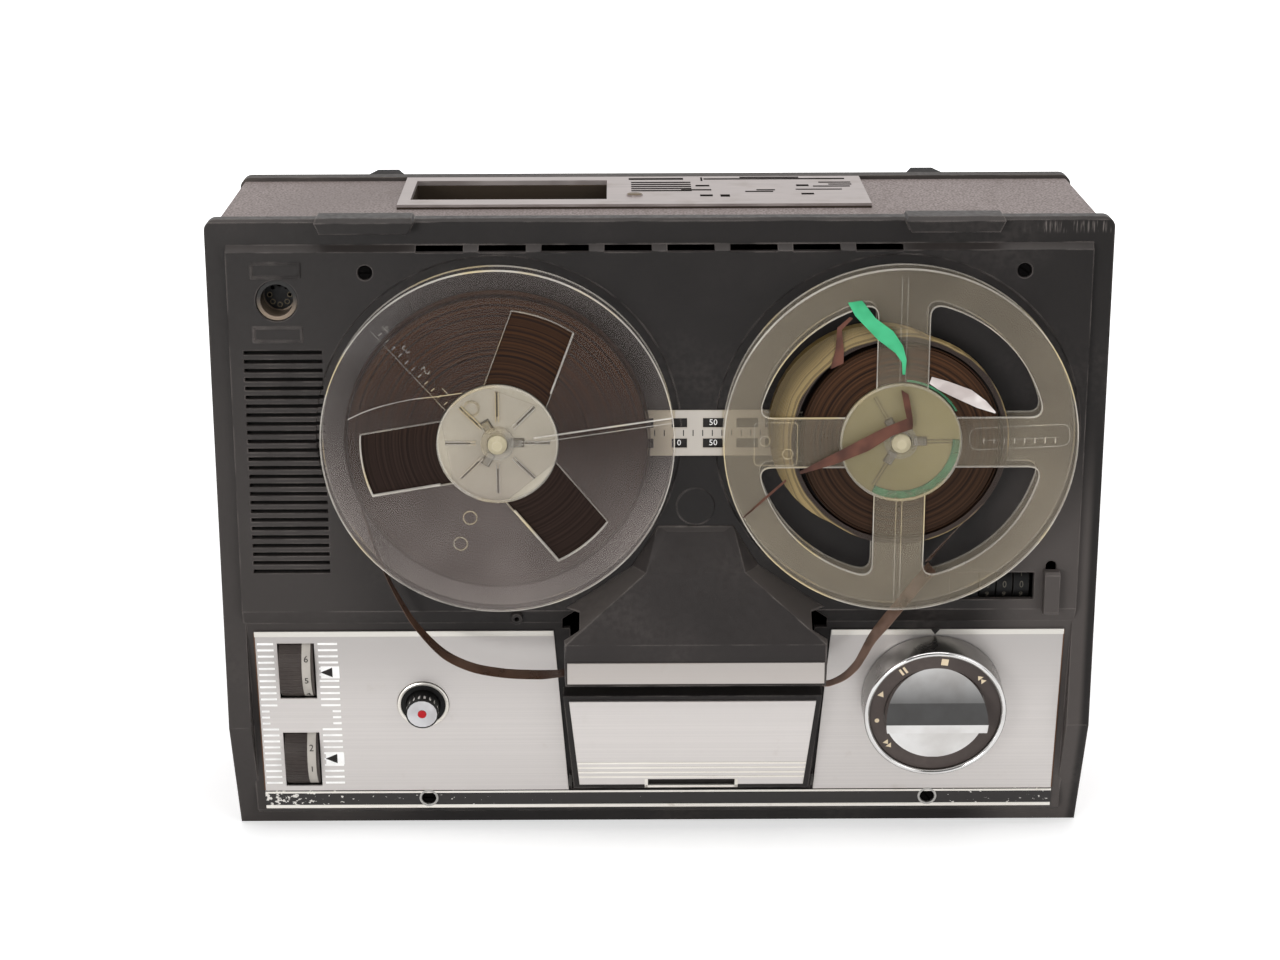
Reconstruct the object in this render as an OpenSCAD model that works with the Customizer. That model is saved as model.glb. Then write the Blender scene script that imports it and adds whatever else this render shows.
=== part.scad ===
// Portable reel-to-reel tape recorder, standing on its control-side edge.
// x runs to the right, y away from the viewer and z up.
// The origin is the middle of the underside; depths in the source are counted
// from the front plane of the case rim.

/* [Case] */
// Width of the front rim
case_w = 372; // [362:1:390]
// Height of the front rim
case_h = 277.5; // [272:0.5:295]
// Depth from the front rim to the rear face
case_d = 108; // [104:1:125]
// Corner radius of the rim
corner_r = 4.5; // [4:0.5:10]
// Thickness of the front rim
rim_t = 7; // [5:0.5:9]
// How far the body sits inside the rim
body_inset = 3.2; // [2:0.1:4]
// Wall of the body
body_wall = 3; // [2:0.25:4]
// Height of the slanted foot of the rim
foot_h = 54; // [48:1:60]
// How far the slanted foot runs back
foot_back = 22.4; // [16:0.2:24]
// Depth of the rear cover
cover_d = 8; // [6:0.5:12]
// Height of the rubber feet on the rear cover
rear_foot_h = 12; // [5:0.5:14]

/* [Deck] */
// How far the deck stands proud of the rim
deck_rise = 3.5; // [2.5:0.25:4]
// Thickness of the deck moulding
deck_t = 3; // [2:0.25:3.5]
// Width of the rim beside the deck
rim_side = 8.6; // [7:0.2:10]
// Height of the rim above the deck
rim_top = 10.5; // [9.5:0.25:12]
// Lean of the control panels
panel_lean = 8.9; // [6:0.1:10]
// Height of the upper edge of the control panels
panel_top = 98.3; // [96:0.1:100]
// Height of the lower edge of the control panels
panel_bottom = 19.2; // [18:0.1:21]
// Thickness of the control panels
panel_t = 0.8; // [0.5:0.1:1.2]
// Number of loudspeaker slots
grille_count = 26; // [10:1:28]
// Height of a loudspeaker slot
grille_slot = 1.7; // [0.8:0.1:2]
// Number of air slots under the upper rim
vent_count = 8; // [3:1:9]

/* [Reels and tape] */
// Diameter of a reel
reel_d = 146; // [138:1:147]
// Diameter of a reel's hub
hub_d = 50; // [44:1:54]
// Distance between the spindles
spindle_gap = 166; // [160:1:170]
// Diameter of a spindle
spindle_d = 8; // [6:0.25:9]
// Thickness of a reel flange
flange_t = 1.5; // [1:0.1:1.8]
// Space between the flanges of a reel
tape_space = 7.5; // [7.2:0.1:9]
// Width of the tape
tape_w = 6.3; // [5.5:0.1:6.4]
// Thickness that the tape is drawn with
tape_t = 0.3; // [0.25:0.05:0.4]
// Radius of the tape wound on the supply reel
supply_pack_r = 62.8; // [40:0.1:66]
// Radius of the tape wound on the take-up reel
takeup_pack_r = 41; // [36:0.1:44]
// Loose turns on the take-up reel
loose_turns_count = 3; // [2:1:4]
// How far the loose turns stand out
loose_reach = 11; // [4:0.5:13]

/* [Controls] */
// Diameter of the function knob
knob_d = 61; // [54:0.5:63]
// Height of the function knob above its panel
knob_h = 14.5; // [12:0.5:18]
// Diameter of the chrome grip in the knob
grip_d = 43.5; // [36:0.5:46]
// Diameter of the record button
button_d = 14.2; // [11:0.1:15]
// Travel of the record button
button_travel = 4; // [2:0.25:4.5]
// Diameter of a thumbwheel
wheel_d = 34; // [30:0.5:36]
// Width of a thumbwheel
wheel_w = 14.6; // [12:0.1:15.2]
// Diameter of a counter wheel
counter_d = 16; // [14:0.25:17]
// Spacing of the counter wheels
counter_pitch = 7.15; // [6.6:0.05:7.4]
// Travel of the counter's reset key
reset_travel = 6; // [3:0.5:7]

/* [Head cover and flap] */
// Width of the head cover at its front edge
head_w = 110; // [104:0.5:112]
// How far the head cover stands in front of the rim
head_reach = 20; // [19.5:0.25:23]
// Width of the flap along its upper edge
flap_w = 111; // [104:0.5:112]
// Width of the flap along its lower edge
flap_foot_w = 103; // [98:0.5:106]

/* [Drive] */
// Diameter of the flywheel
flywheel_d = 84; // [70:1:90]
// Diameter of the capstan
capstan_d = 5; // [3:0.25:6]
// Diameter of the pinch roller
roller_d = 11; // [9:0.25:12]
// Diameter of the motor
motor_d = 66; // [56:1:72]
// Space from the motor to the rear face
motor_clear = 10; // [6:0.5:14]

/* [Connections] */
// Inner diameter of the round socket
socket_d = 13.5; // [12:0.1:14.5]
// Length of the connector plate
plate_w = 200; // [190:1:210]

/* [Hidden] */
$fn = 64;

// Clearances
fit = 0.05;
gap = 0.3;
eps = 0.01;
over = 1;

// Case, worked out from the driving sizes
half_w = case_w / 2;
body_half = half_w - body_inset;
body_top = case_h - body_inset;
body_end = case_d - cover_d;
lip_inset = 1.5;
inner_half = body_half - body_wall;
inner_top = body_top - body_wall;
foot_slope = foot_back / foot_h;

// Deck, worked out from the rim
deck_half = half_w - rim_side;
deck_top = case_h - rim_top;
deck_face = -deck_rise;
deck_back = deck_face + deck_t;
chamfer_h = 2.4;
step_top = panel_top + 10.5;
step_bottom = panel_top + 4;
bed_end = panel_bottom - 10.2;
lean_tan = tan(panel_lean);
lean_cos = cos(panel_lean);
mid_x = 15.2;
recess_r = reel_d / 2 + 3;
recess_d = 0.8;

// Reels, worked out from the deck
reel_mid = mid_x + 0.9;
supply_x = reel_mid - spindle_gap / 2;
takeup_x = reel_mid + spindle_gap / 2;
spindle_z = step_top + 78.2;
turntable_d = hub_d + 10;
turntable_t = 3;
turntable_lift = 0.9;
turntable_back = deck_face - turntable_lift;
turntable_face = turntable_back - turntable_t;
reel_back = turntable_face - gap;
reel_inner = reel_back - flange_t;
reel_outer = reel_inner - tape_space;
reel_face = reel_outer - flange_t;
tape_front = (reel_inner + reel_outer) / 2 - tape_w / 2;
spindle_tip = reel_face - 3;
spindle_r = spindle_d / 2;

// Places of the deck's fittings, counted from the deck's edges
socket_x = -deck_half + 20.3;
socket_z = deck_top - 22.6;
grille_mid = -deck_half + 22;
grille_w = 32.4;
grille_top = deck_top - 44.5;
grille_end = step_top + 18.3;
grille_pitch = (grille_top - grille_end) / (grille_count - 1);
vent_w = 19.3;
vent_pitch = 25.7;
screw_z = deck_top - 11;
screw_left = -deck_half + 56.9;
screw_right = deck_half - 28.1;
strip_screw_left = -101.3;
strip_screw_right = 118.7;
strip_screw_z = panel_bottom - 4;
counter_mid = deck_half - 30.7;
counter_z = panel_top + 21;
counter_win_w = 35.5;
counter_win_h = 12;
counter_win_mid = deck_half - 36.2;
counter_axis = deck_face + 1.5 + counter_d / 2;
key_x = deck_half - 11.6;
key_w = 6.5;
key_h = 19;
key_z = panel_top + 19;
key_out = 5.5;
stem_w = 4;
stem_h = 9;
scale_w = 68;
scale_h = 19.7;
scale_z = spindle_z + 0.5;

// Control panels
panel_edge = deck_half - 4;
bed_mid = mid_x - 0.9;
foot_half = flap_foot_w / 2 + 0.8;
ear_t = 1.2;
gap_foot = foot_half + ear_t + gap;
gap_top = gap_foot + 5.6;
window_w = 15.9;
window_h = 27.4;
window_mid = -panel_edge + 17.5;
tone_z = panel_top - 19;
volume_z = panel_top - 63.1;
wheel_r = wheel_d / 2;
wheel_sink = wheel_r - 4.5;
bed_back = panel_t + deck_t * lean_cos;
bed_window = 2 * sqrt(wheel_r * wheel_r - (wheel_sink - bed_back) * (wheel_sink - bed_back)) + 0.8;
button_x = -panel_edge + 71.3;
button_z = panel_top - 35.5;
bezel_r = 11;
button_out = 8.5;
knob_x = panel_edge - 55.2;
knob_z = panel_top - 32.8;
knob_base_gap = 0.6;
bed_lift = panel_t / lean_cos;

// Heads and tape route
head_half = head_w / 2;
cover_t = 2;
cover_foot = panel_bottom + 61.5;
cover_crease = cover_foot + 18.5;
cover_shoulder = cover_crease + 29;
cover_peak = cover_shoulder + 16.3;
mouth_up = 10.2;
mouth_low = 5;
tape_line = cover_crease - 4.2;
head_front = tape_front - 0.6;
head_plate_v = 8;
capstan_r = capstan_d / 2;
capstan_x = mid_x + 25;
capstan_z = tape_line + tape_t / 2 + gap + capstan_r;
roller_r = roller_d / 2;
roller_open = 2.5;
roller_x = capstan_x;
roller_z = tape_line - tape_t / 2 - gap - roller_open - roller_r;
arm_len = 18;
arm_x = roller_x + arm_len;

// Flap in front of the head opening
flap_top_z = cover_foot - 9.2;
flap_top_v = -8;
flap_foot_z = panel_bottom + 2.8;
flap_foot_v = 7.6;
flap_lean = atan((flap_foot_v - flap_top_v) / (flap_top_z - flap_foot_z));
flap_h = (flap_top_z - flap_foot_z) / cos(flap_lean);
flap_t = 2.6;
flap_pin_r = 1.5;

// Inner layout
chassis_v = 34;
chassis_t = 2;
chassis_back = chassis_v + chassis_t;
chassis_margin = 5.5;
chassis_left = screw_left - chassis_margin;
fitting_in = 8;
pillar_r = 4.5;
pillar_floor = chassis_v - 2;
screw_r = 1.5;
flywheel_t = 13;
flywheel_v = chassis_back + 6;
motor_x = capstan_x + 80;
motor_z = capstan_z - 28;
pulley_r = 12;
pulley_t = 11;
motor_v = flywheel_v + flywheel_t + 3;
motor_l = case_d - motor_clear - motor_v;
bush_r = 7;
bush_flange = 2;

// Connections on the upper side
plate_left = -110;
plate_t = 2;
plate_v0 = 36;
plate_v1 = body_end - 2;
well_x0 = plate_left + 5;
well_x1 = plate_left + 88.4;
well_v0 = plate_v0 + 11;
well_v1 = plate_v1 - 8.5;
well_wall = 1.5;
well_depth = 42;

// Depth of the rim's front plane at height z
function rim_v(z) = z > foot_h ? 0 : (foot_h - z) * foot_slope;
// Depth of the control panels' face at height z
function panel_v(z) = (panel_top - z) * lean_tan;
// Depth of the bed that carries the panels at height z
function bed_v(z) = panel_v(z) + bed_lift;
// Distance down the panel for a height z
function on_lean(z) = (z - panel_top) / lean_cos;

// Puts the pieces in the object's frame
module placed() {
    translate([0, -case_d / 2, 0]) children();
}

// Extrudes a front view from depth v0 to depth v1
module slab(v0, v1) {
    translate([0, v1, 0]) rotate([90, 0, 0]) linear_extrude(height = v1 - v0) children();
}

// Extrudes a side view from x0 to x1
module rail(x0, x1) {
    translate([x0, 0, 0]) rotate([90, 0, 90]) linear_extrude(height = x1 - x0) children();
}

// Round bar along the depth, from v0 to v1
module bar(x, z, r, v0, v1) {
    translate([x, v1, z]) rotate([90, 0, 0]) cylinder(r = r, h = v1 - v0);
}

// Round bar along x
module cross_bar(x0, x1, v, z, r) {
    translate([x0, v, z]) rotate([0, 90, 0]) cylinder(r = r, h = x1 - x0);
}

// Block between two corners
module block(x0, x1, v0, v1, z0, z1) {
    translate([x0, v0, z0]) cube([x1 - x0, v1 - v0, z1 - z0]);
}

// Front view of a box with round upper corners
module arch(half, z0, z1, r) {
    translate([-half, z0]) square([2 * half, z1 - z0 - r]);
    translate([-half + r, z0]) square([2 * (half - r), z1 - z0]);
    for (side = [-1, 1]) translate([side * (half - r), z1 - r]) circle(r = r);
}

// Frame that lies in the control panels' face
module on_panel() {
    translate([0, 0, panel_top]) rotate([panel_lean, 0, 0]) children();
}

// Round bar square to the control panels, from depth d0 to d1 behind their face
module panel_bar(x, z, r, d0, d1) {
    on_panel() bar(x, on_lean(z), r, d0, d1);
}

// Frame that lies in the flap's face
module on_flap() {
    translate([bed_mid, flap_top_v, flap_top_z]) rotate([flap_lean, 0, 0]) children();
}

module case_body() {
    well_cut = well_wall + gap;
    color([0.53, 0.49, 0.47]) difference() {
        intersection() {
            rail(-body_half, body_half) polygon([[rim_t, body_top], [rim_t, foot_h],
                [rim_t + foot_back, 0], [body_end, 0], [body_end, body_top]]);
            slab(0, case_d) arch(body_half, -over, body_top, corner_r - body_inset);
        }
        difference() {
            block(-inner_half, inner_half, -over, case_d, body_wall, inner_top);
            for (x = [-1, 1], z = [0, 1]) boss(x, z);
        }
        for (x = [-1, 1], z = [0, 1]) {
            bar(x * boss_x, boss_z(z), screw_r + fit, body_end - boss_l / 2, case_d);
        }
        block(well_x0 - well_cut, well_x1 + well_cut, well_v0 - well_cut, well_v1 + well_cut,
            inner_top - over, case_h);
    }
}

// Screw bosses in the body's corners
boss_r = 5;
boss_l = 26;
boss_x = inner_half - boss_r + 1;
function boss_z(up) = up ? inner_top - boss_r + 1 : body_wall + boss_r - 1;
module boss(side, up) {
    bar(side * boss_x, boss_z(up), boss_r, body_end - boss_l, body_end);
}

module rear_cover() {
    slot_w = 46;
    slot_h = 2.4;
    slot_pitch = 6;
    slot_rows = 12;
    color([0.27, 0.26, 0.24]) difference() {
        slab(body_end, case_d) arch(half_w - lip_inset, 0, case_h - lip_inset, corner_r);
        difference() {
            block(-inner_half, inner_half, body_end - over, case_d - body_wall, body_wall, inner_top);
            for (x = [-1, 1], z = [0, 1]) bar(x * boss_x, boss_z(z), boss_r, body_end, case_d);
        }
        for (x = [-1, 1], z = [0, 1]) {
            bar(x * boss_x, boss_z(z), screw_r + 2 * fit, body_end - over, case_d + over);
            bar(x * boss_x, boss_z(z), head_r + gap, case_d - head_t, case_d + over);
        }
        for (row = [0 : slot_rows - 1], col = [-1 : 1]) {
            translate([col * (slot_w + 12) - slot_w / 2, case_d - body_wall - over,
                case_h / 2 + (row - slot_rows / 2) * slot_pitch])
                cube([slot_w, body_wall + 2 * over, slot_h]);
        }
    }
}

// Head of a cover or deck screw
head_r = 2.8;
head_t = 2;

module rear_feet() {
    foot_x = 120;
    foot_half = 7.8;
    tip_half = 4.4;
    foot_tall = 15;
    bevel = 2;
    color([0.16, 0.15, 0.15]) for (side = [-1, 1], up = [0, 1]) {
        z0 = up ? case_h - lip_inset - foot_tall : boss_z(0) + boss_r;
        translate([side * foot_x, 0, z0]) intersection() {
            rail(-foot_half, foot_half) polygon([[case_d, 0], [case_d + rear_foot_h - bevel, 0],
                [case_d + rear_foot_h, bevel], [case_d + rear_foot_h, foot_tall - bevel / 2],
                [case_d + rear_foot_h - bevel / 2, foot_tall], [case_d, foot_tall]]);
            linear_extrude(height = foot_tall) polygon([[-foot_half, case_d], [foot_half, case_d],
                [tip_half, case_d + rear_foot_h], [-tip_half, case_d + rear_foot_h]]);
        }
    }
}

module rear_screws() {
    color("silver") for (x = [-1, 1], z = [0, 1]) {
        bar(x * boss_x, boss_z(z), screw_r, body_end - boss_l / 2 + over, case_d - head_t);
        bar(x * boss_x, boss_z(z), head_r, case_d - head_t, case_d - gap);
    }
}

// Side view of the deck moulding's outer face, from the upper rim to the foot
bed_foot = 3;
deck_outline = [[0, deck_top], [deck_face, deck_top - chamfer_h], [deck_face, step_top],
    [bed_v(step_bottom), step_bottom], [bed_v(bed_end), bed_end],
    [rim_v(bed_end - bed_foot), bed_end - bed_foot]];
lug_x0 = 100;
lug_x1 = 140.5;
lug_out = 7;
lug_up = 1.5;
lug_h = 6.4;
lug_draw = 2.2;
rim_chamfer = 1.2;

module front_panel() {
    last = len(deck_outline) - 1;
    sheet = concat(deck_outline, [for (i = [last : -1 : 0]) deck_outline[i] + [deck_t, 0]]);
    cheek_v = rim_t + deck_t;
    cheek = concat(deck_outline, [[rim_v(bed_end - bed_foot) + cheek_v, bed_end - bed_foot],
        [cheek_v, foot_h], [cheek_v, deck_top]]);
    color([0.25, 0.24, 0.23]) difference() {
        union() {
            difference() {
                intersection() {
                    rail(-half_w, half_w) polygon([[rim_chamfer, case_h], [0, case_h - rim_chamfer],
                        [0, foot_h], [foot_back, 0], [foot_back + rim_t, 0], [rim_t, foot_h],
                        [rim_t, case_h]]);
                    slab(-over, case_d) arch(half_w, -over, case_h, corner_r);
                }
                block(-deck_half + over, deck_half - over, -over, case_d, bed_end - over, deck_top - over);
            }
            rail(-deck_half, deck_half) polygon(sheet);
            for (side = [0, 1]) {
                x0 = side ? deck_half - deck_t : -deck_half;
                rail(x0, x0 + deck_t) polygon(cheek);
            }
            for (side = [-1, 1]) lid_lug(side);
            raised_marks();
        }
        deck_openings();
        bed_openings();
    }
}

// Lug on the upper rim that carries the lid
module lid_lug(side) {
    bevel = 1.8;
    top = case_h + lug_up;
    foot = top - lug_h;
    x0 = side > 0 ? lug_x0 : -lug_x1;
    x1 = x0 + lug_x1 - lug_x0;
    intersection() {
        rail(x0, x1) polygon([[-lug_out, foot], [-lug_out, top - bevel], [-lug_out + bevel, top],
            [rim_t - over, top], [rim_t - over, foot]]);
        slab(-lug_out, rim_t) polygon([[x0 + lug_draw, foot], [x1 - lug_draw, foot], [x1, top - bevel],
            [x1 - bevel / 2, top], [x0 + bevel / 2, top], [x0, top - bevel]]);
    }
}

// Blank raised frames at the socket and the round mark under the scale
module raised_marks() {
    mark_t = 0.5;
    frame_w = 20.4;
    frame_h = 6.6;
    line = 0.8;
    above = 12.7;
    below = 14.2;
    disc_r = 8;
    disc_up = disc_r + 2.8;
    for (dz = [above, -below]) {
        translate([socket_x, 0, socket_z + dz]) slab(deck_face - mark_t, deck_face + eps) difference() {
            square([frame_w, frame_h], center = true);
            square([frame_w - 2 * line, frame_h - 2 * line], center = true);
        }
    }
    bar(mid_x, cover_peak + disc_up, disc_r, deck_face - mark_t, deck_face + eps);
}

module deck_openings() {
    through = deck_t + 2 * over;
    for (x = [supply_x, takeup_x]) {
        bar(x, spindle_z, recess_r, deck_face - over, deck_face + recess_d);
        bar(x, spindle_z, bush_r + gap, deck_face - over, deck_back + over);
    }
    bar(socket_x, socket_z, socket_r + gap, deck_face - over, deck_back + over);
    for (i = [0 : grille_count - 1]) {
        slot_z = grille_top - i * grille_pitch - grille_slot / 2;
        translate([grille_mid - grille_w / 2, deck_face - over, slot_z])
            cube([grille_w, through, grille_slot]);
    }
    for (i = [0 : vent_count - 1]) {
        x = (i - (vent_count - 1) / 2) * vent_pitch;
        block(x - vent_w / 2, x + vent_w / 2, deck_face - over, rim_t + over,
            deck_top - chamfer_h - gap, deck_top - gap);
    }
    for (x = [screw_left, screw_right]) screw_hole(x, screw_z, deck_face);
    block(counter_win_mid - counter_win_w / 2, counter_win_mid + counter_win_w / 2,
        deck_face - over, deck_back + over, counter_z - counter_win_h / 2, counter_z + counter_win_h / 2);
    slot_half = stem_w / 2 + gap;
    slot_top = key_z + stem_h / 2 + reset_travel + gap;
    block(key_x - slot_half, key_x + slot_half, deck_face - over, deck_back + over,
        key_z - stem_h / 2 - gap, slot_top);
    bar(key_x, slot_top, slot_half, deck_face - over, deck_back + over);
}

// Stepped hole for a deck screw whose mouth lies at depth v
module screw_hole(x, z, v) {
    bar(x, z, head_r + gap, v - over, v + head_t);
    bar(x, z, screw_r + 2 * fit, v, v + deck_t + 2 * over);
}

module bed_openings() {
    sink = deck_t + 3 * over;
    on_panel() for (z = [tone_z, volume_z]) {
        block(window_mid - window_w / 2, window_mid + window_w / 2, -over, sink,
            on_lean(z) - bed_window / 2, on_lean(z) + bed_window / 2);
    }
    panel_bar(button_x, button_z, bezel_r + gap, -over, sink);
    panel_bar(knob_x, knob_z, bush_r + gap, -over, sink);
    for (x = [strip_screw_left, strip_screw_right]) {
        screw_hole(x, strip_screw_z, bed_v(strip_screw_z) - panel_t);
        bar(x, strip_screw_z, screw_r + 2 * fit, 0, chassis_v);
    }
    block(bed_mid - foot_half, bed_mid + foot_half, deck_face - over, chassis_v - over,
        panel_bottom, step_bottom);
    block(mid_x - head_half + 15, mid_x + head_half - 15, deck_face - over, chassis_v - over,
        panel_bottom + over, cover_crease + 9);
    // Mouths beside the head cover, where the tape goes in and out
    mouth_in = head_half - 16;
    mouth_neck = head_half - 4.8;
    mouth_out = head_half + 1.5;
    mouth_foot = panel_top + 1.2;
    translate([mid_x, 0, 0]) for (side = [-1, 1]) slab(deck_face - over, chassis_v - over)
        polygon([[side * mouth_in, mouth_foot], [side * mouth_out, mouth_foot],
            [side * mouth_out, cover_crease + mouth_low], [side * mouth_neck, cover_crease + mouth_up],
            [side * mouth_in, cover_crease + mouth_up]]);
}

// Outline of a control panel, with the edge beside the flap running in towards its foot
module panel_outline(side) {
    drop = on_lean(panel_bottom);
    near_top = bed_mid + side * gap_top;
    near_foot = bed_mid + side * gap_foot;
    polygon([[side * panel_edge, 0], [near_top, 0], [near_foot, drop], [side * panel_edge, drop]]);
}

module left_panel() {
    color([0.78, 0.77, 0.76]) difference() {
        on_panel() slab(0, panel_t) panel_outline(-1);
        on_panel() for (z = [tone_z, volume_z]) {
            block(window_mid - window_w / 2, window_mid + window_w / 2, -over, panel_t + over,
                on_lean(z) - window_h / 2, on_lean(z) + window_h / 2);
        }
        panel_bar(button_x, button_z, bezel_r + gap, -over, panel_t + over);
    }
}

module right_panel() {
    color([0.78, 0.77, 0.76]) difference() {
        on_panel() slab(0, panel_t) panel_outline(1);
        panel_bar(knob_x, knob_z, bush_r + gap, -over, panel_t + over);
    }
}

module bottom_strip() {
    strip_h = 9.2;
    color([0.14, 0.13, 0.13]) difference() {
        on_panel() slab(0, panel_t) translate([-panel_edge, on_lean(panel_bottom) - strip_h])
            square([2 * panel_edge, strip_h - gap]);
        for (x = [strip_screw_left, strip_screw_right]) bar(x, strip_screw_z, head_r + gap, 0, chassis_v);
    }
}

// Deck screw with its head sunk to depth v
module deck_screw(x, z, v) {
    sunk = 0.6;
    bar(x, z, head_r, v + sunk, v + head_t);
    bar(x, z, screw_r, v + head_t, pillar_floor - over);
}

module deck_screws() {
    color("silver") {
        for (x = [screw_left, screw_right]) deck_screw(x, screw_z, deck_face);
        for (x = [strip_screw_left, strip_screw_right]) {
            deck_screw(x, strip_screw_z, bed_v(strip_screw_z) - panel_t);
        }
    }
}

module scale_plate() {
    sheet_t = 0.5;
    shift = 6.8;
    slot_h = 4;
    slot_z = 4.4;
    left_x = -6.9;
    left_w = 6.4;
    right_x = 7.3;
    right_w = 8.8;
    color([0.75, 0.71, 0.67]) slab(deck_face - sheet_t, deck_face) difference() {
        translate([mid_x + shift - scale_w / 2, scale_z - scale_h / 2]) square([scale_w, scale_h]);
        for (side = [-1, 1]) {
            translate([mid_x + left_x, scale_z + side * slot_z]) square([left_w, slot_h], center = true);
            translate([mid_x + right_x, scale_z + side * slot_z]) square([right_w, slot_h], center = true);
        }
    }
}

// Round socket beside the loudspeaker
socket_wall = 1.6;
socket_r = socket_d / 2 + socket_wall;
socket_l = 15;
socket_floor = 2;
socket_sunk = 1;
socket_end = deck_back + socket_l - socket_floor;
insert_front = socket_end - 4;
insert_r = socket_d / 2 - 0.5;

module socket_shell() {
    flange_half = socket_r + 3;
    flange_t = 1.5;
    color([0.62, 0.5, 0.28]) difference() {
        union() {
            bar(socket_x, socket_z, socket_r, deck_face + socket_sunk, deck_back + socket_l);
            slab(deck_back, deck_back + flange_t) translate([socket_x, socket_z])
                square([2 * flange_half, 2 * socket_r + 1], center = true);
        }
        bar(socket_x, socket_z, socket_d / 2, deck_face - over, insert_front);
        bar(socket_x, socket_z, insert_r + fit, insert_front - over, socket_end);
    }
}

module socket_insert() {
    pin_circle = 4.1;
    pin_r = 0.8;
    color([0.08, 0.08, 0.08]) difference() {
        bar(socket_x, socket_z, insert_r, insert_front, socket_end);
        for (a = [-90 : 45 : 90]) {
            x = socket_x + pin_circle * sin(a);
            bar(x, socket_z + pin_circle * cos(a), pin_r, insert_front - over, socket_end - over);
        }
    }
}

// Loudspeaker behind its slots
speaker_half = grille_w / 2 + 1.8;
speaker_top = grille_top + 4;
speaker_foot = grille_end - 4;
speaker_mid = (speaker_top + speaker_foot) / 2;
cone_t = 1.6;
speaker_plate_t = 2;

module speaker_frame() {
    magnet_r = 15;
    yoke_r = 17;
    plate_v = deck_back + cone_t;
    yoke_v = plate_v + 14;
    yoke_t = 13;
    color([0.5, 0.5, 0.52]) {
        block(grille_mid - speaker_half, grille_mid + speaker_half, plate_v, plate_v + speaker_plate_t,
            speaker_foot, speaker_top);
        bar(grille_mid, speaker_mid, magnet_r, plate_v + speaker_plate_t - eps, yoke_v + eps);
        bar(grille_mid, speaker_mid, yoke_r, yoke_v, yoke_v + yoke_t);
    }
}

module speaker_cone() {
    color([0.12, 0.11, 0.1]) block(grille_mid - speaker_half, grille_mid + speaker_half,
        deck_back, deck_back + cone_t, speaker_foot, speaker_top);
}

// Tape counter
counter_frame_t = 1.5;
counter_axle_r = 1.5;
counter_x0 = counter_win_mid - counter_win_w / 2 - 1;
counter_x1 = counter_mid + 1.5 * counter_pitch + 1.4;

module counter_housing() {
    mask_v = deck_back;
    side_h = counter_d / 2 + 1;
    back = counter_axis + counter_d / 2 + 1;
    wheel_left = counter_mid - 1.5 * counter_pitch;
    color([0.07, 0.07, 0.07]) {
        difference() {
            union() {
                block(counter_x0, wheel_left - gap, mask_v, mask_v + counter_frame_t,
                    counter_z - side_h, counter_z + side_h);
                for (x = [counter_x0, counter_x1]) {
                    block(x, x + counter_frame_t, mask_v, back, counter_z - side_h, counter_z + side_h);
                }
                block(counter_x0, counter_x1 + counter_frame_t, back, back + counter_frame_t,
                    counter_z - side_h, counter_z + side_h);
            }
            cross_bar(counter_x0 - over, counter_x1 + counter_frame_t + over, counter_axis, counter_z,
                counter_axle_r + fit);
        }
        cross_bar(counter_x0, counter_x1 + counter_frame_t, counter_axis, counter_z, counter_axle_r);
    }
}

// Number wheel in place number index of the counter, counted from the right
module counter_wheel(index) {
    w = counter_pitch - 2 * gap;
    x = counter_mid + (1 - index) * counter_pitch;
    color([0.1, 0.1, 0.1]) difference() {
        cross_bar(x - w / 2, x + w / 2, counter_axis, counter_z, counter_d / 2);
        cross_bar(x - w, x + w, counter_axis, counter_z, counter_axle_r + fit);
    }
}
module counter_wheel_units() { counter_wheel(0); }
module counter_wheel_tens() { counter_wheel(1); }
module counter_wheel_hundreds() { counter_wheel(2); }

module reset_key() {
    key_back = deck_face - gap;
    bevel = 1.2;
    foot_t = 1.5;
    color([0.27, 0.26, 0.25]) {
        rail(key_x - key_w / 2, key_x + key_w / 2) polygon([[key_back, key_z - key_h / 2],
            [key_back - key_out + bevel, key_z - key_h / 2], [key_back - key_out, key_z - key_h / 2 + bevel],
            [key_back - key_out, key_z + key_h / 2 - bevel], [key_back - key_out + bevel, key_z + key_h / 2],
            [key_back, key_z + key_h / 2]]);
        block(key_x - stem_w / 2, key_x + stem_w / 2, key_back - eps, deck_back + gap + eps,
            key_z - stem_h / 2, key_z + stem_h / 2);
        block(key_x - key_w / 2, key_x + key_w / 2, deck_back + gap, deck_back + gap + foot_t,
            key_z - stem_h / 2, key_z + stem_h / 2);
    }
}

// Pair of points at equal distances from the middle of the head cover
function pair(x, v, z) = [[mid_x - x, v, z], [mid_x + x, v, z]];

// Convex solid through a list of points
module solid_through(points) {
    hull() polyhedron(points = points, faces = [[for (i = [0 : len(points) - 1]) i]]);
}

// Form of the head cover, shrunk by t for its inside
peak_half = 11.9;
peak_v = -5;
neck_half = 20.9;
neck_v = -11;
neck_flare = 6;
module cover_form(t) {
    low = t > 0 ? over : 0;
    back = deck_face + low;
    solid_through(concat(
        pair(peak_half + 4 - t, back, cover_peak + 2.5 - t), pair(peak_half - t, peak_v + t, cover_peak - t),
        pair(neck_half + neck_flare - t, back, cover_shoulder + 1 - low),
        pair(neck_half - t, neck_v + t, cover_shoulder - low)));
    solid_through(concat(
        pair(neck_half + neck_flare - t, back, cover_shoulder + 1 - t / 2),
        pair(neck_half - t, neck_v + t, cover_shoulder - t / 2),
        pair(head_half + 3 - t, back, cover_crease + 9 - t), pair(head_half + 1 - t, back, cover_foot - low),
        pair(head_half - t, -head_reach + t, cover_crease - t / 2),
        pair(head_half - t, -head_reach + t, cover_foot - low)));
}

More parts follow.
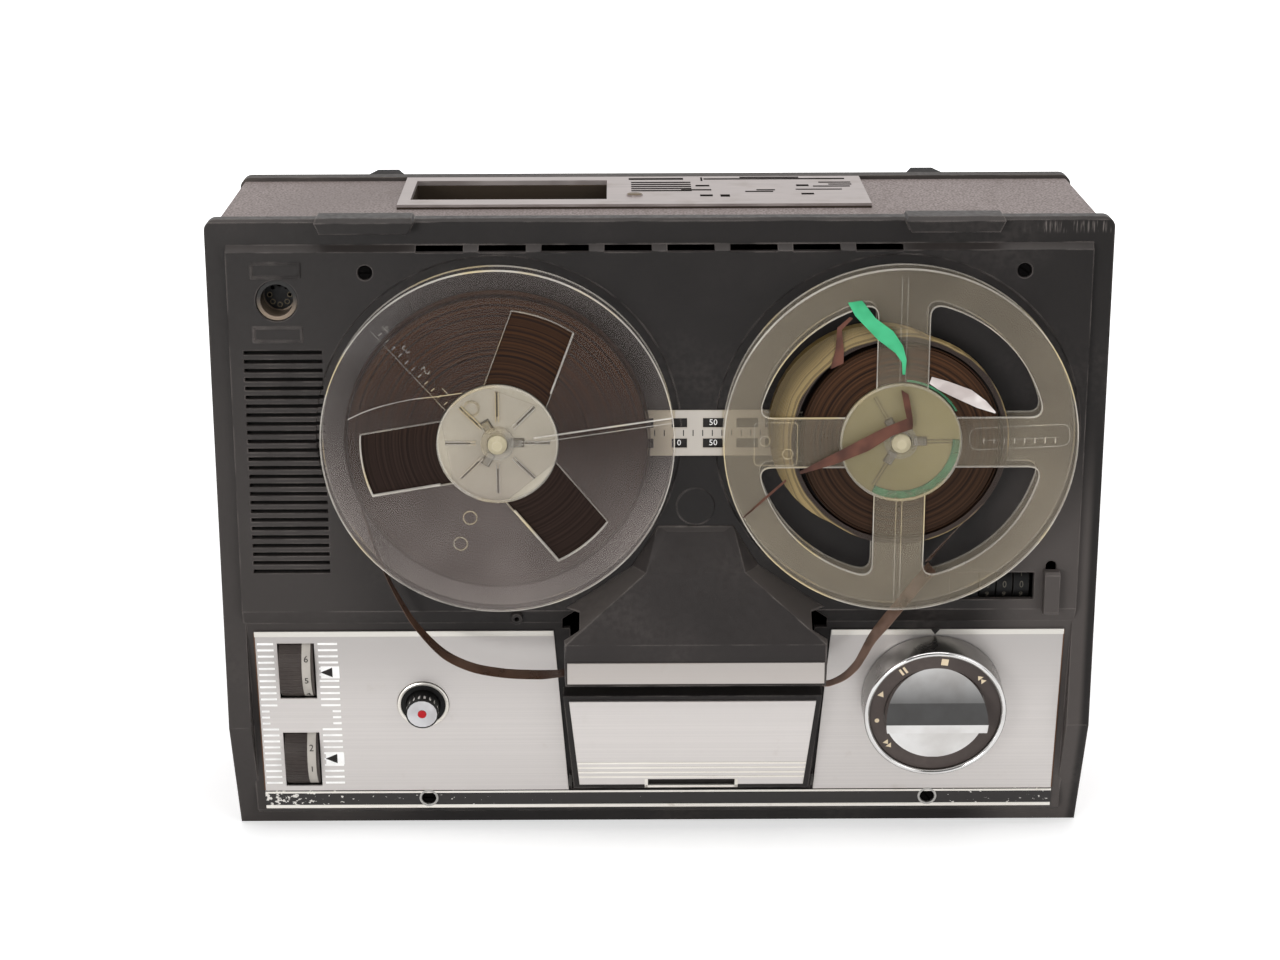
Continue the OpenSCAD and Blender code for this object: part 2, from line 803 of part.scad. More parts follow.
module head_cover() {
    slot_front = tape_front - 1.2;
    slot_half = 6;
    color([0.24, 0.23, 0.22]) difference() {
        cover_form(0);
        cover_form(cover_t);
        for (side = [-1, 1]) {
            x = mid_x + side * head_half;
            block(x - slot_half, x + slot_half, slot_front, deck_face + over,
                cover_foot - over, cover_crease + mouth_up + 0.8);
        }
    }
}

module nameplate() {
    strip_t = 0.8;
    strip_h = 9.3;
    strip_up = 1.4;
    strip_half = head_half - 0.8;
    color([0.87, 0.86, 0.83]) block(mid_x - strip_half, mid_x + strip_half,
        -head_reach - strip_t, -head_reach, cover_foot + strip_up, cover_foot + strip_up + strip_h);
}

// Flap and its pivot
flap_return = 6.4;
flap_side_t = 2.2;
pivot_in = 3.6;
pivot_up = 2.7;
pivot_v = flap_top_v + pivot_in * cos(flap_lean) + (flap_h - pivot_up) * sin(flap_lean);
pivot_z = flap_top_z + pivot_in * sin(flap_lean) - (flap_h - pivot_up) * cos(flap_lean);
notch_half = 19;
notch_low = 1.2;
notch_h = 3.6;

// Outline of the flap, drawn in by margin
module flap_outline(margin) {
    top = flap_w / 2 - margin;
    foot = flap_foot_w / 2 - margin;
    polygon([[-top, -margin], [top, -margin], [foot, -flap_h + margin], [-foot, -flap_h + margin]]);
}

module flap_frame() {
    inside = flap_foot_w / 2 - flap_side_t;
    color([0.2, 0.2, 0.2]) difference() {
        on_flap() difference() {
            slab(0, flap_return) flap_outline(0);
            slab(flap_t, flap_return + over) flap_outline(flap_side_t);
            slab(flap_t, flap_return + over) translate([-inside, -flap_h - over])
                square([2 * inside, flap_side_t + 2 * over]);
            translate([-notch_half, -over, -flap_h + notch_low]) cube([2 * notch_half, 2 * over, notch_h]);
        }
        cross_bar(bed_mid - flap_w, bed_mid + flap_w, pivot_v, pivot_z, flap_pin_r + fit);
    }
}

module flap_plate() {
    margin = 2.6;
    sheet_t = 0.7;
    color([0.8, 0.79, 0.78]) on_flap() slab(-sheet_t, 0) difference() {
        flap_outline(margin);
        translate([-notch_half, -flap_h]) square([2 * notch_half, notch_low + notch_h + 0.8]);
    }
}

// Ears beside the flap's foot, each with its pivot pin
module flap_pins() {
    ear_r = 2.6;
    pin_l = 3.2;
    color([0.3, 0.29, 0.28]) for (side = [-1, 1]) {
        x0 = bed_mid + (side > 0 ? foot_half : -foot_half - ear_t);
        rail(x0, x0 + ear_t) polygon([[pivot_v - ear_r, pivot_z - ear_r], [pivot_v - ear_r, pivot_z + ear_r],
            [bed_v(pivot_z + ear_r), pivot_z + ear_r], [bed_v(pivot_z - ear_r), pivot_z - ear_r]]);
        pin_x = bed_mid + (side > 0 ? foot_half - pin_l : -foot_half);
        cross_bar(pin_x, pin_x + pin_l, pivot_v, pivot_z, flap_pin_r);
    }
}

// Record button in its bezel
stem_r = 4;
cap_back = 1;
bezel_lip = 0.6;
nut_rim = 2.5;
nut_t = 1.5;
bezel_floor = cap_back + button_travel + 1.5;
bezel_end = bezel_floor + 3;

module record_bezel() {
    color([0.2, 0.19, 0.19]) difference() {
        union() {
            panel_bar(button_x, button_z, bezel_r, -bezel_lip, bezel_end);
            panel_bar(button_x, button_z, bezel_r + nut_rim, bed_back, bed_back + nut_t);
        }
        panel_bar(button_x, button_z, button_d / 2 + gap, -over, bezel_floor);
        panel_bar(button_x, button_z, stem_r + fit, bezel_floor - over, bezel_end + over);
    }
}

module record_button() {
    color([0.75, 0.75, 0.76]) {
        panel_bar(button_x, button_z, button_d / 2, -button_out, cap_back);
        panel_bar(button_x, button_z, stem_r, cap_back - eps, bezel_end + stem_r);
    }
}

module record_dot() {
    dot_r = 1.9;
    dot_t = 0.3;
    color([0.8, 0.1, 0.15]) panel_bar(button_x, button_z, dot_r, -button_out - dot_t, -button_out);
}

// Thumbwheels and the potentiometers that they turn
pot_r = 8;
pot_gap = 3;
pot_l = 13;
wheel_shaft_r = 3;
pot_x0 = window_mid + window_w / 2 + pot_gap;

module thumbwheel(z) {
    color([0.26, 0.24, 0.23]) on_panel() {
        cross_bar(window_mid - wheel_w / 2, window_mid + wheel_w / 2, wheel_sink, on_lean(z), wheel_r);
        cross_bar(window_mid + wheel_w / 2 - eps, pot_x0 + pot_l / 2, wheel_sink, on_lean(z), wheel_shaft_r);
    }
}
module tone_wheel() { thumbwheel(tone_z); }
module volume_wheel() { thumbwheel(volume_z); }

module potentiometers() {
    bracket_t = 2;
    color([0.55, 0.5, 0.4]) on_panel() for (z = [tone_z, volume_z]) difference() {
        union() {
            cross_bar(pot_x0, pot_x0 + pot_l, wheel_sink, on_lean(z), pot_r);
            block(pot_x0, pot_x0 + bracket_t, bed_back, wheel_sink, on_lean(z) - pot_r, on_lean(z) + pot_r);
        }
        cross_bar(pot_x0 - over, pot_x0 + pot_l / 2 + over, wheel_sink, on_lean(z), wheel_shaft_r + fit);
    }
}

// Function knob
skirt_wall = 2.2;
skirt_floor = knob_h - 2;
knob_shaft_r = 4;
legend_t = 0.8;

module selector_skirt() {
    color([0.3, 0.29, 0.28]) difference() {
        panel_bar(knob_x, knob_z, knob_d / 2, -knob_h, -knob_base_gap);
        panel_bar(knob_x, knob_z, knob_d / 2 - skirt_wall, -knob_h - over, -skirt_floor);
        panel_bar(knob_x, knob_z, knob_shaft_r + fit, -knob_h, over);
    }
}

module selector_legend() {
    color([0.36, 0.32, 0.31]) difference() {
        panel_bar(knob_x, knob_z, knob_d / 2 - skirt_wall - fit, -skirt_floor - legend_t, -skirt_floor);
        panel_bar(knob_x, knob_z, grip_d / 2 + fit, -knob_h, 0);
    }
}

module selector_grip() {
    grip_base = skirt_floor + 1.4;
    wing_h = 9;
    wing_foot = 16;
    wing_top = 7;
    color([0.8, 0.8, 0.8]) intersection() {
        union() {
            panel_bar(knob_x, knob_z, grip_d / 2, -grip_base, -skirt_floor);
            on_panel() translate([0, 0, on_lean(knob_z)]) rail(knob_x - grip_d / 2, knob_x + grip_d / 2)
                polygon([[-skirt_floor, -wing_foot / 2], [-grip_base, -wing_foot / 2],
                    [-grip_base - wing_h, -wing_top / 2], [-grip_base - wing_h, wing_top / 2],
                    [-grip_base, wing_foot / 2], [-skirt_floor, wing_foot / 2]]);
        }
        panel_bar(knob_x, knob_z, grip_d / 2, -grip_base - wing_h - over, 0);
    }
}

module selector_shaft() {
    cam_r = 13;
    cam_d = bush_end + gap;
    cam_t = 4;
    color([0.7, 0.7, 0.68]) {
        panel_bar(knob_x, knob_z, knob_shaft_r, -skirt_floor, cam_d + 2 * cam_t);
        difference() {
            panel_bar(knob_x, knob_z, cam_r, cam_d, cam_d + cam_t);
            panel_bar(knob_x + cam_r, knob_z, cam_r / 2, cam_d - over, cam_d + cam_t + over);
        }
    }
}

bush_end = 14;
module selector_bush() {
    flange_r = bush_r + 4;
    color("goldenrod") difference() {
        union() {
            panel_bar(knob_x, knob_z, bush_r, -knob_base_gap / 2, bush_end);
            panel_bar(knob_x, knob_z, flange_r, bed_back, bed_back + bush_flange);
        }
        panel_bar(knob_x, knob_z, knob_shaft_r + fit, -over, bush_end + over);
    }
}

// Chassis plate with the pillars that the deck is screwed to
strip_pillar_v = bed_v(strip_screw_z - pillar_r) + deck_t + gap;
module chassis() {
    right = inner_half - gap;
    color([0.6, 0.6, 0.62]) difference() {
        union() {
            block(chassis_left, right, chassis_v, chassis_back, body_wall + gap, inner_top - gap);
            for (x = [screw_left, screw_right]) bar(x, screw_z, pillar_r, deck_back, chassis_v + eps);
            for (x = [strip_screw_left, strip_screw_right]) {
                bar(x, strip_screw_z, pillar_r, strip_pillar_v, chassis_v + eps);
            }
        }
        for (x = [screw_left, screw_right]) bar(x, screw_z, screw_r + fit, deck_back - over, pillar_floor);
        for (x = [strip_screw_left, strip_screw_right]) {
            bar(x, strip_screw_z, screw_r + fit, 0, pillar_floor);
        }
        for (x = [supply_x, takeup_x]) bar(x, spindle_z, bush_r + fit, chassis_v - over, chassis_back + over);
        bar(capstan_x, capstan_z, bush_r + fit, chassis_v - over, chassis_back + over);
    }
}

// Head plate, carried by the chassis on four posts
head_plate_t = 2;
head_plate_half = 48;
head_plate_low = tape_line - 22;
head_plate_high = tape_line + 18;
arm_post_r = 2;

module head_plate() {
    post_r = 4;
    post_in = 5;
    post_v = head_plate_v + head_plate_t;
    color([0.66, 0.66, 0.66]) difference() {
        union() {
            block(mid_x - head_plate_half, mid_x + head_plate_half, head_plate_v, head_plate_v + head_plate_t,
                head_plate_low, head_plate_high);
            for (side = [-1, 1], z = [head_plate_low + post_in, head_plate_high - post_in]) {
                bar(mid_x + side * (head_plate_half - post_in), z, post_r, post_v - eps, chassis_v);
            }
            bar(arm_x, roller_z, arm_post_r, arm_front - over, head_plate_v + eps);
        }
        bar(capstan_x, capstan_z, capstan_r + 1, head_plate_v - over, head_plate_v + head_plate_t + over);
    }
}

// Block of a tape head above the tape, on its stud
over_tape = tape_line + tape_t / 2 + gap;
module tape_head(x, w, tall) {
    head_d = 9;
    face_h = 3;
    slope = 4;
    stud_r = 3;
    rail(x - w / 2, x + w / 2) polygon([[head_front, over_tape], [head_front, over_tape + face_h],
        [head_front + slope, over_tape + tall], [head_front + head_d, over_tape + tall],
        [head_front + head_d, over_tape]]);
    bar(x, over_tape + tall / 2, stud_r, head_front + head_d - eps, head_plate_v);
}

module erase_head() {
    erase_x = mid_x - 17;
    color([0.35, 0.3, 0.3]) tape_head(erase_x, 9, 10);
}

module play_head() {
    play_x = mid_x + 4;
    color([0.7, 0.68, 0.62]) tape_head(play_x, 13, 11);
}

module tape_guides() {
    guide_r = 2;
    flange_r = 3;
    flange_w = 1;
    flange_v = tape_front + tape_w + gap;
    z = over_tape + guide_r;
    color("silver") for (x = [mid_x - 38, mid_x + 34]) {
        bar(x, z, guide_r, head_front, head_plate_v);
        bar(x, z, flange_r, flange_v, flange_v + flange_w);
    }
}

// Pinch roller on its arm
roller_past = 0.4;
roller_front = tape_front - roller_past;
roller_back = tape_front + tape_w + roller_past;
roller_pin_r = 1.5;
arm_t = 1.6;
arm_front = roller_back + gap;
arm_back = arm_front + arm_t;

module pinch_arm() {
    eye_r = 4;
    tip_r = 3;
    half_h = 2.4;
    color([0.62, 0.62, 0.64]) {
        difference() {
            union() {
                bar(arm_x, roller_z, eye_r, arm_front, arm_back);
                bar(roller_x, roller_z, tip_r, arm_front, arm_back);
                block(roller_x, arm_x, arm_front, arm_back, roller_z - half_h, roller_z + half_h);
            }
            bar(arm_x, roller_z, arm_post_r + fit, arm_front - over, arm_back + over);
        }
        bar(roller_x, roller_z, roller_pin_r, roller_front, arm_front + eps);
    }
}

module pinch_roller() {
    color([0.13, 0.13, 0.13]) difference() {
        bar(roller_x, roller_z, roller_r, roller_front, roller_back);
        bar(roller_x, roller_z, roller_pin_r + fit, roller_front - over, roller_back + over);
    }
}

// Capstan drive
module flywheel() {
    color([0.68, 0.66, 0.6]) {
        bar(capstan_x, capstan_z, flywheel_d / 2, flywheel_v, flywheel_v + flywheel_t);
        bar(capstan_x, capstan_z, capstan_r, tape_front - fit, flywheel_v + eps);
    }
}

module capstan_bush() {
    flange_r = bush_r + 3;
    bush_l = 12;
    color("goldenrod") difference() {
        union() {
            bar(capstan_x, capstan_z, bush_r, chassis_v - bush_l, flywheel_v - gap);
            bar(capstan_x, capstan_z, flange_r, chassis_back, chassis_back + bush_flange);
        }
        bar(capstan_x, capstan_z, capstan_r + fit, 0, flywheel_v);
    }
}

belt_w = 6;
belt_t = 1.2;
module drive_belt() {
    belt_v = flywheel_v + (flywheel_t - belt_w) / 2;
    color([0.1, 0.1, 0.1]) slab(belt_v, belt_v + belt_w) difference() {
        belt_loop(gap + belt_t);
        belt_loop(gap);
    }
}

// Front view of the belt's loop, standing off its pulleys by out
module belt_loop(out) {
    hull() {
        translate([capstan_x, capstan_z]) circle(r = flywheel_d / 2 + out);
        translate([motor_x, motor_z]) circle(r = pulley_r + out);
    }
}

motor_shaft_r = 3;
module motor_body() {
    post_r = 3;
    post_ring = motor_d / 2 - 5;
    post_angles = [-20, 80, 250];
    color([0.45, 0.46, 0.48]) difference() {
        union() {
            bar(motor_x, motor_z, motor_d / 2, motor_v, motor_v + motor_l);
            for (a = post_angles) {
                x = motor_x + post_ring * cos(a);
                bar(x, motor_z + post_ring * sin(a), post_r, chassis_back, motor_v + eps);
            }
        }
        bar(motor_x, motor_z, motor_shaft_r + fit, motor_v - over, motor_v + motor_l / 2);
    }
}

module motor_pulley() {
    pulley_v = flywheel_v + (flywheel_t - pulley_t) / 2;
    color([0.7, 0.62, 0.4]) {
        bar(motor_x, motor_z, pulley_r, pulley_v, pulley_v + pulley_t);
        bar(motor_x, motor_z, motor_shaft_r, flywheel_v, motor_v + motor_l / 2 - over);
    }
}

// Spindles
bush_front = deck_back + 1;
bush_back = chassis_back + 3;
module spindle_bushes() {
    flange_r = bush_r + 3;
    color("goldenrod") for (x = [supply_x, takeup_x]) difference() {
        union() {
            bar(x, spindle_z, bush_r, bush_front, bush_back);
            bar(x, spindle_z, flange_r, chassis_v - bush_flange, chassis_v);
        }
        bar(x, spindle_z, spindle_r + fit, bush_front - over, bush_back + over);
    }
}

module turntable(x) {
    tip_r = 2;
    collar_r = 9;
    collar_t = 4;
    collar_v = bush_back + gap;
    rim_r = turntable_d / 2;
    color([0.55, 0.54, 0.52]) translate([x, 0, spindle_z]) rotate([-90, 0, 0]) rotate_extrude()
        polygon([[0, spindle_tip], [spindle_r - tip_r, spindle_tip], [spindle_r, spindle_tip + tip_r],
            [spindle_r, turntable_face], [rim_r, turntable_face], [rim_r, turntable_back],
            [spindle_r, turntable_back], [spindle_r, collar_v], [collar_r, collar_v],
            [collar_r, collar_v + collar_t], [0, collar_v + collar_t]]);
}
module supply_turntable() { turntable(supply_x); }
module takeup_turntable() { turntable(takeup_x); }

// Reel blank with its hub, cut by the front view of its windows
module reel_blank(x) {
    dish_r = hub_d / 2 - 2.5;
    dish_d = 3;
    boss_wall = 3;
    difference() {
        union() {
            bar(x, spindle_z, reel_d / 2, reel_face, reel_outer);
            bar(x, spindle_z, reel_d / 2, reel_inner, reel_back);
            bar(x, spindle_z, hub_d / 2, reel_outer - eps, reel_inner + eps);
        }
        bar(x, spindle_z, spindle_r + 3 * fit, reel_face - over, reel_back + over);
        difference() {
            bar(x, spindle_z, dish_r, reel_face - over, reel_face + dish_d);
            bar(x, spindle_z, spindle_r + boss_wall, reel_face - 2 * over, reel_back);
        }
        translate([x, 0, spindle_z]) slab(reel_face - over, reel_back + over) children();
    }
}

module supply_reel() {
    window_span = 27;
    window_in = hub_d / 2 + 1.2;
    window_out = reel_d / 2 - 18;
    color([0.8, 0.79, 0.74, 0.5]) reel_blank(supply_x) for (a = [69.5, 189.5, 309.5]) {
        rotate(a) translate([window_in, -window_span / 2]) square([window_out - window_in, window_span]);
    }
}

module takeup_reel() {
    spoke_w = 21;
    window_out = reel_d / 2 - 13.4;
    window_in = hub_d / 2 + 2;
    color([0.7, 0.68, 0.55, 0.5]) reel_blank(takeup_x) difference() {
        circle(r = window_out);
        circle(r = window_in);
        square([spoke_w, reel_d], center = true);
        square([reel_d, spoke_w], center = true);
    }
}

// Wound tape: a plain core whose last turn lifts off as a spiral step; way is 1 where the turns
// grow outward to the left round the reel, -1 to the right
turn_points = 72;
turn_lift = 0.6;
pack_clear = 0.2;
module tape_pack(r, end_angle, way) {
    difference() {
        polygon([for (i = [0 : turn_points]) let (a = end_angle - way * 360 * (1 - i / turn_points))
            (r + turn_lift * i / turn_points) * [cos(a), sin(a)]]);
        circle(r = hub_d / 2 + pack_clear);
    }
}

// Angle at which the tape leaves the supply pack
leave_angle = 207;
module supply_tape() {
    color([0.24, 0.16, 0.12]) translate([supply_x, 0, spindle_z])
        slab(tape_front, tape_front + tape_w) tape_pack(supply_pack_r, leave_angle, 1);
}

// Angle at which the tape runs on to the take-up reel, and the length of its tail there
tail_angle = -38;
tail_l = 34;
tail_gap = 0.7;
module takeup_tape() {
    color([0.2, 0.13, 0.1]) translate([takeup_x, 0, spindle_z])
        slab(tape_front, tape_front + tape_w) tape_pack(takeup_pack_r, tail_angle, -1);
}

// Loose outer turns: one strip that bulges out on one side of the pack and ends in the tail
loose_steps = 60;
loose_pitch = 0.8;
loose_side = 154;
loose_span = 79;
loose_base = takeup_pack_r + turn_lift + 0.5 + tape_t / 2;
loose_end = loose_base + loose_pitch * loose_turns_count;
function turned(a) = (a - loose_side) - 360 * round((a - loose_side) / 360);
function bulge(a) = abs(turned(a)) < loose_span ? cos(90 * turned(a) / loose_span) : 0;
function loose_r(turn, a) = loose_base + loose_pitch * turn
    + loose_reach * bulge(a) * (turn + 0.5) / (loose_turns_count + 0.5);
tail_way = [sin(tail_angle), -cos(tail_angle)];
tail_start = loose_end * [cos(tail_angle), sin(tail_angle)];
loose_line = concat([for (i = [0 : loose_steps * loose_turns_count])
    let (turn = i / loose_steps, a = tail_angle - 360 * turn) loose_r(turn, a) * [cos(a), sin(a)]],
    [for (part = [0.25, 0.5, 0.75, 1]) tail_start + part * tail_l * tail_way]);
loose_gap = min([for (i = [0 : len(loose_line) - 1], j = [i + loose_steps / 2 : 1 : len(loose_line) - 1])
    norm(loose_line[i] - loose_line[j])]) - tape_t;
echo(str("least gap between the loose turns, mm: ", loose_gap));

// Unit normal of a line of points at point i
function line_normal(line, i) =
    let (last = len(line) - 1, d = line[min(i + 1, last)] - line[max(i - 1, 0)]) [-d.y, d.x] / norm(d);
// Outline of a strip of thickness t along a line of points
function strip_outline(line, t) = let (last = len(line) - 1)
    concat([for (i = [0 : last]) line[i] + line_normal(line, i) * t / 2],
        [for (i = [last : -1 : 0]) line[i] - line_normal(line, i) * t / 2]);

module loose_turns() {
    color([0.72, 0.66, 0.45]) translate([takeup_x, 0, spindle_z])
        slab(tape_front, tape_front + tape_w) polygon(strip_outline(loose_line, tape_t));
}

// Tape between the reels, from the supply pack past the heads to the take-up tail
leave_r = supply_pack_r + turn_lift + gap + tape_t;
run_start = [supply_x, spindle_z] + leave_r * [cos(leave_angle), sin(leave_angle)];
run_end = [takeup_x, spindle_z] + tail_start + (tail_l + tail_gap) * tail_way;
run_left = [[-116, 132], [-106.5, 112.5], [-99.5, 102.5], [-90.5, 93.5], [-80, 88], [-69, 85.5],
    [-58, 84.5], [-42, 84.5], [-34, 86.5], [-27, 91]];
run_right = [[54, 92.5], [59, 88.5], [65, 82.5], [70.5, 79], [77.2, 81.7], [82.4, 87], [85.4, 92.6],
    [88.8, 99.8], [93.8, 107.2], [99.4, 114.6], [106, 123.4]];
run_points = concat([run_start], run_left,
    [for (x = [-34, -22, -10, 2, 14, 26, 32]) [mid_x + x, tape_line]], run_right, [run_end]);
run_steps = 3;
// Smooth curve through a list of points
function curve_at(p, i, t) =
    let (a = p[max(i - 1, 0)], b = p[i], c = p[i + 1], d = p[min(i + 2, len(p) - 1)])
    0.5 * (2 * b + (c - a) * t + (2 * a - 5 * b + 4 * c - d) * t * t + (3 * b - a - 3 * c + d) * t * t * t);
run_line = concat([for (i = [0 : len(run_points) - 2], k = [0 : run_steps - 1])
    curve_at(run_points, i, k / run_steps)], [run_end]);

module tape_run() {
    color([0.3, 0.22, 0.17])
        slab(tape_front, tape_front + tape_w) polygon(strip_outline(run_line, tape_t));
}

// Mains transformer on the chassis
module transformer() {
    core_w = 58;
    core_h = 48;
    core_d = 20;
    coil_d = 12;
    x0 = chassis_left + fitting_in;
    z0 = 14;
    v0 = chassis_back + coil_d;
    inset = 9;
    color([0.35, 0.33, 0.32]) {
        block(x0, x0 + core_w, v0, v0 + core_d, z0, z0 + core_h);
        block(x0 + inset, x0 + core_w - inset, chassis_back, v0 + core_d + coil_d,
            z0 + inset, z0 + core_h - inset);
    }
}

// Circuit board on standoffs, with its larger parts
module circuit_board() {
    board_v = chassis_back + 20;
    board_t = 1.6;
    x0 = chassis_left + fitting_in;
    x1 = -12;
    z0 = 88;
    z1 = body_top - well_depth - fitting_in - gap;
    margin = 6;
    can_r = 5;
    can_l = 18;
    can_pitch = 17;
    coil_w = 18;
    coil_l = 14;
    coil_pitch = 28;
    relay_w = 14;
    relay_h = 6;
    relay_l = 9;
    relay_pitch = 22;
    color([0.6, 0.48, 0.25]) {
        block(x0, x1, board_v, board_v + board_t, z0, z1);
        for (x = [x0 + margin, x1 - margin], z = [z0 + margin, z1 - margin]) {
            bar(x, z, margin / 2, chassis_back, board_v + eps);
        }
        for (i = [0 : 4]) bar(x0 + can_pitch * (i + 1), z0 + can_l + margin, can_r, board_v, board_v + can_l);
        for (i = [0 : 3]) {
            x = x0 + coil_l + i * relay_pitch;
            block(x, x + relay_w, board_v, board_v + relay_l, z0 + 10 * margin, z0 + 10 * margin + relay_h);
        }
        for (i = [0 : 2]) {
            x = x0 + coil_l + i * coil_pitch;
            block(x, x + coil_w, board_v, board_v + coil_l, z0 + 16 * margin, z0 + 16 * margin + coil_w);
        }
    }
}

// Connector plate and well on the upper side
module connector_plate() {
    cap_r = 3.4;
    cap_t = 0.6;
    cap_x = well_x1 + 11.9;
    cap_v = well_v0 + 8;
    color([0.75, 0.73, 0.71]) {
        difference() {
            block(plate_left, plate_left + plate_w, plate_v0, plate_v1, body_top, body_top + plate_t);
            block(well_x0, well_x1, well_v0, well_v1, body_top - over, body_top + plate_t + over);
        }
        translate([cap_x, cap_v, body_top + plate_t - eps]) cylinder(r = cap_r, h = cap_t);
    }
}

module connector_well() {
    floor_z = body_top - well_depth;
    inlet_x = (well_x0 + well_x1) / 2;
    inlet_v = (well_v0 + well_v1) / 2;
    inlet_w = 24;
    inlet_d = 16;
    inlet_h = 9;
    pin_r = 1.6;
    pin_l = 9;
    pin_x = inlet_w / 4;
    color([0.2, 0.19, 0.18]) {
        difference() {
            block(well_x0 - well_wall, well_x1 + well_wall, well_v0 - well_wall, well_v1 + well_wall,
                floor_z - well_wall, body_top);
            block(well_x0, well_x1, well_v0, well_v1, floor_z, body_top + over);
        }
        block(inlet_x - inlet_w / 2, inlet_x + inlet_w / 2, inlet_v - inlet_d / 2, inlet_v + inlet_d / 2,
            floor_z - eps, floor_z + inlet_h);
        for (side = [-1, 1]) {
            translate([inlet_x + side * pin_x, inlet_v, floor_z + inlet_h - eps])
                cylinder(r = pin_r, h = pin_l);
        }
    }
}

placed() case_body();
placed() rear_cover();
placed() rear_feet();
placed() rear_screws();
placed() front_panel();
placed() left_panel();
placed() right_panel();
placed() bottom_strip();
placed() deck_screws();
placed() scale_plate();
placed() speaker_frame();
placed() speaker_cone();
placed() socket_shell();
placed() socket_insert();
placed() counter_housing();
placed() counter_wheel_units();
placed() counter_wheel_tens();
placed() counter_wheel_hundreds();
placed() reset_key();
placed() head_cover();
placed() nameplate();
placed() flap_frame();
placed() flap_plate();
placed() flap_pins();
placed() record_bezel();
placed() record_button();
placed() record_dot();
placed() tone_wheel();
placed() volume_wheel();
placed() potentiometers();
placed() selector_skirt();
placed() selector_legend();
placed() selector_grip();
placed() selector_shaft();
placed() selector_bush();
placed() chassis();
placed() head_plate();
placed() erase_head();
placed() play_head();
placed() tape_guides();
placed() pinch_arm();
placed() pinch_roller();
placed() flywheel();
placed() capstan_bush();
placed() drive_belt();
placed() motor_body();
placed() motor_pulley();
placed() spindle_bushes();
placed() supply_turntable();
placed() takeup_turntable();
placed() transformer();
placed() circuit_board();
placed() connector_plate();
placed() connector_well();
placed() supply_reel();
placed() supply_tape();
placed() takeup_reel();
placed() takeup_tape();
placed() loose_turns();
placed() tape_run();
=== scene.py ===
import math

import bmesh
import bpy
from mathutils import Matrix, Vector


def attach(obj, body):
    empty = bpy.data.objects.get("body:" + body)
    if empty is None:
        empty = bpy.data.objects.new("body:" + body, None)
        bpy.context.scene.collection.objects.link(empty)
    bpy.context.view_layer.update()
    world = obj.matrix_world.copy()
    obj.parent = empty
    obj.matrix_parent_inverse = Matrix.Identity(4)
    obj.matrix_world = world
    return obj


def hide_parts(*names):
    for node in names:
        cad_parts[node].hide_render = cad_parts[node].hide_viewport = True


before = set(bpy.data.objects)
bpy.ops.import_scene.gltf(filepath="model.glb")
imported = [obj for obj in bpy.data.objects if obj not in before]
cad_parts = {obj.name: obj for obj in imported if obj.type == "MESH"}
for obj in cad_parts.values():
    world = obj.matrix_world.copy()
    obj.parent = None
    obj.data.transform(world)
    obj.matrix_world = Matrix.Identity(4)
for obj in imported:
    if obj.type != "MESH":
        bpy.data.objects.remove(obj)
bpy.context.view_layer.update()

# The view: a still camera a little above the machine, at the photograph's angle.
# A white table and three large soft lamps stand in for the light tent it was taken in.
scene = bpy.context.scene
scene.view_settings.view_transform = "Standard"
IMAGE_WIDTH, SENSOR_WIDTH = 1280, 36
FOCAL_PIXELS = 2620.65
EYE_AT = (-0.018846, -1.105504, 0.492223)
EYE_SHIFT = (0.0184, -0.0003)
yaw, pitch, roll = (math.radians(a) for a in (0.048, 17.233, -0.2165))
ahead = Vector((math.sin(yaw) * math.cos(pitch), math.cos(yaw) * math.cos(pitch), -math.sin(pitch)))
level = Vector((math.cos(yaw), -math.sin(yaw), 0))
upright = level.cross(ahead)
side = math.cos(roll) * level + math.sin(roll) * upright
top = math.cos(roll) * upright - math.sin(roll) * level
eye = bpy.data.objects.new("eye", bpy.data.cameras.new("eye"))
eye.data.sensor_width = SENSOR_WIDTH
eye.data.lens = SENSOR_WIDTH * FOCAL_PIXELS / IMAGE_WIDTH
eye.data.shift_x, eye.data.shift_y = EYE_SHIFT
eye_pose = Matrix((side, top, -ahead)).transposed().to_4x4()
eye_pose.translation = EYE_AT
eye.matrix_world = eye_pose
scene.collection.objects.link(eye)
scene.camera = eye


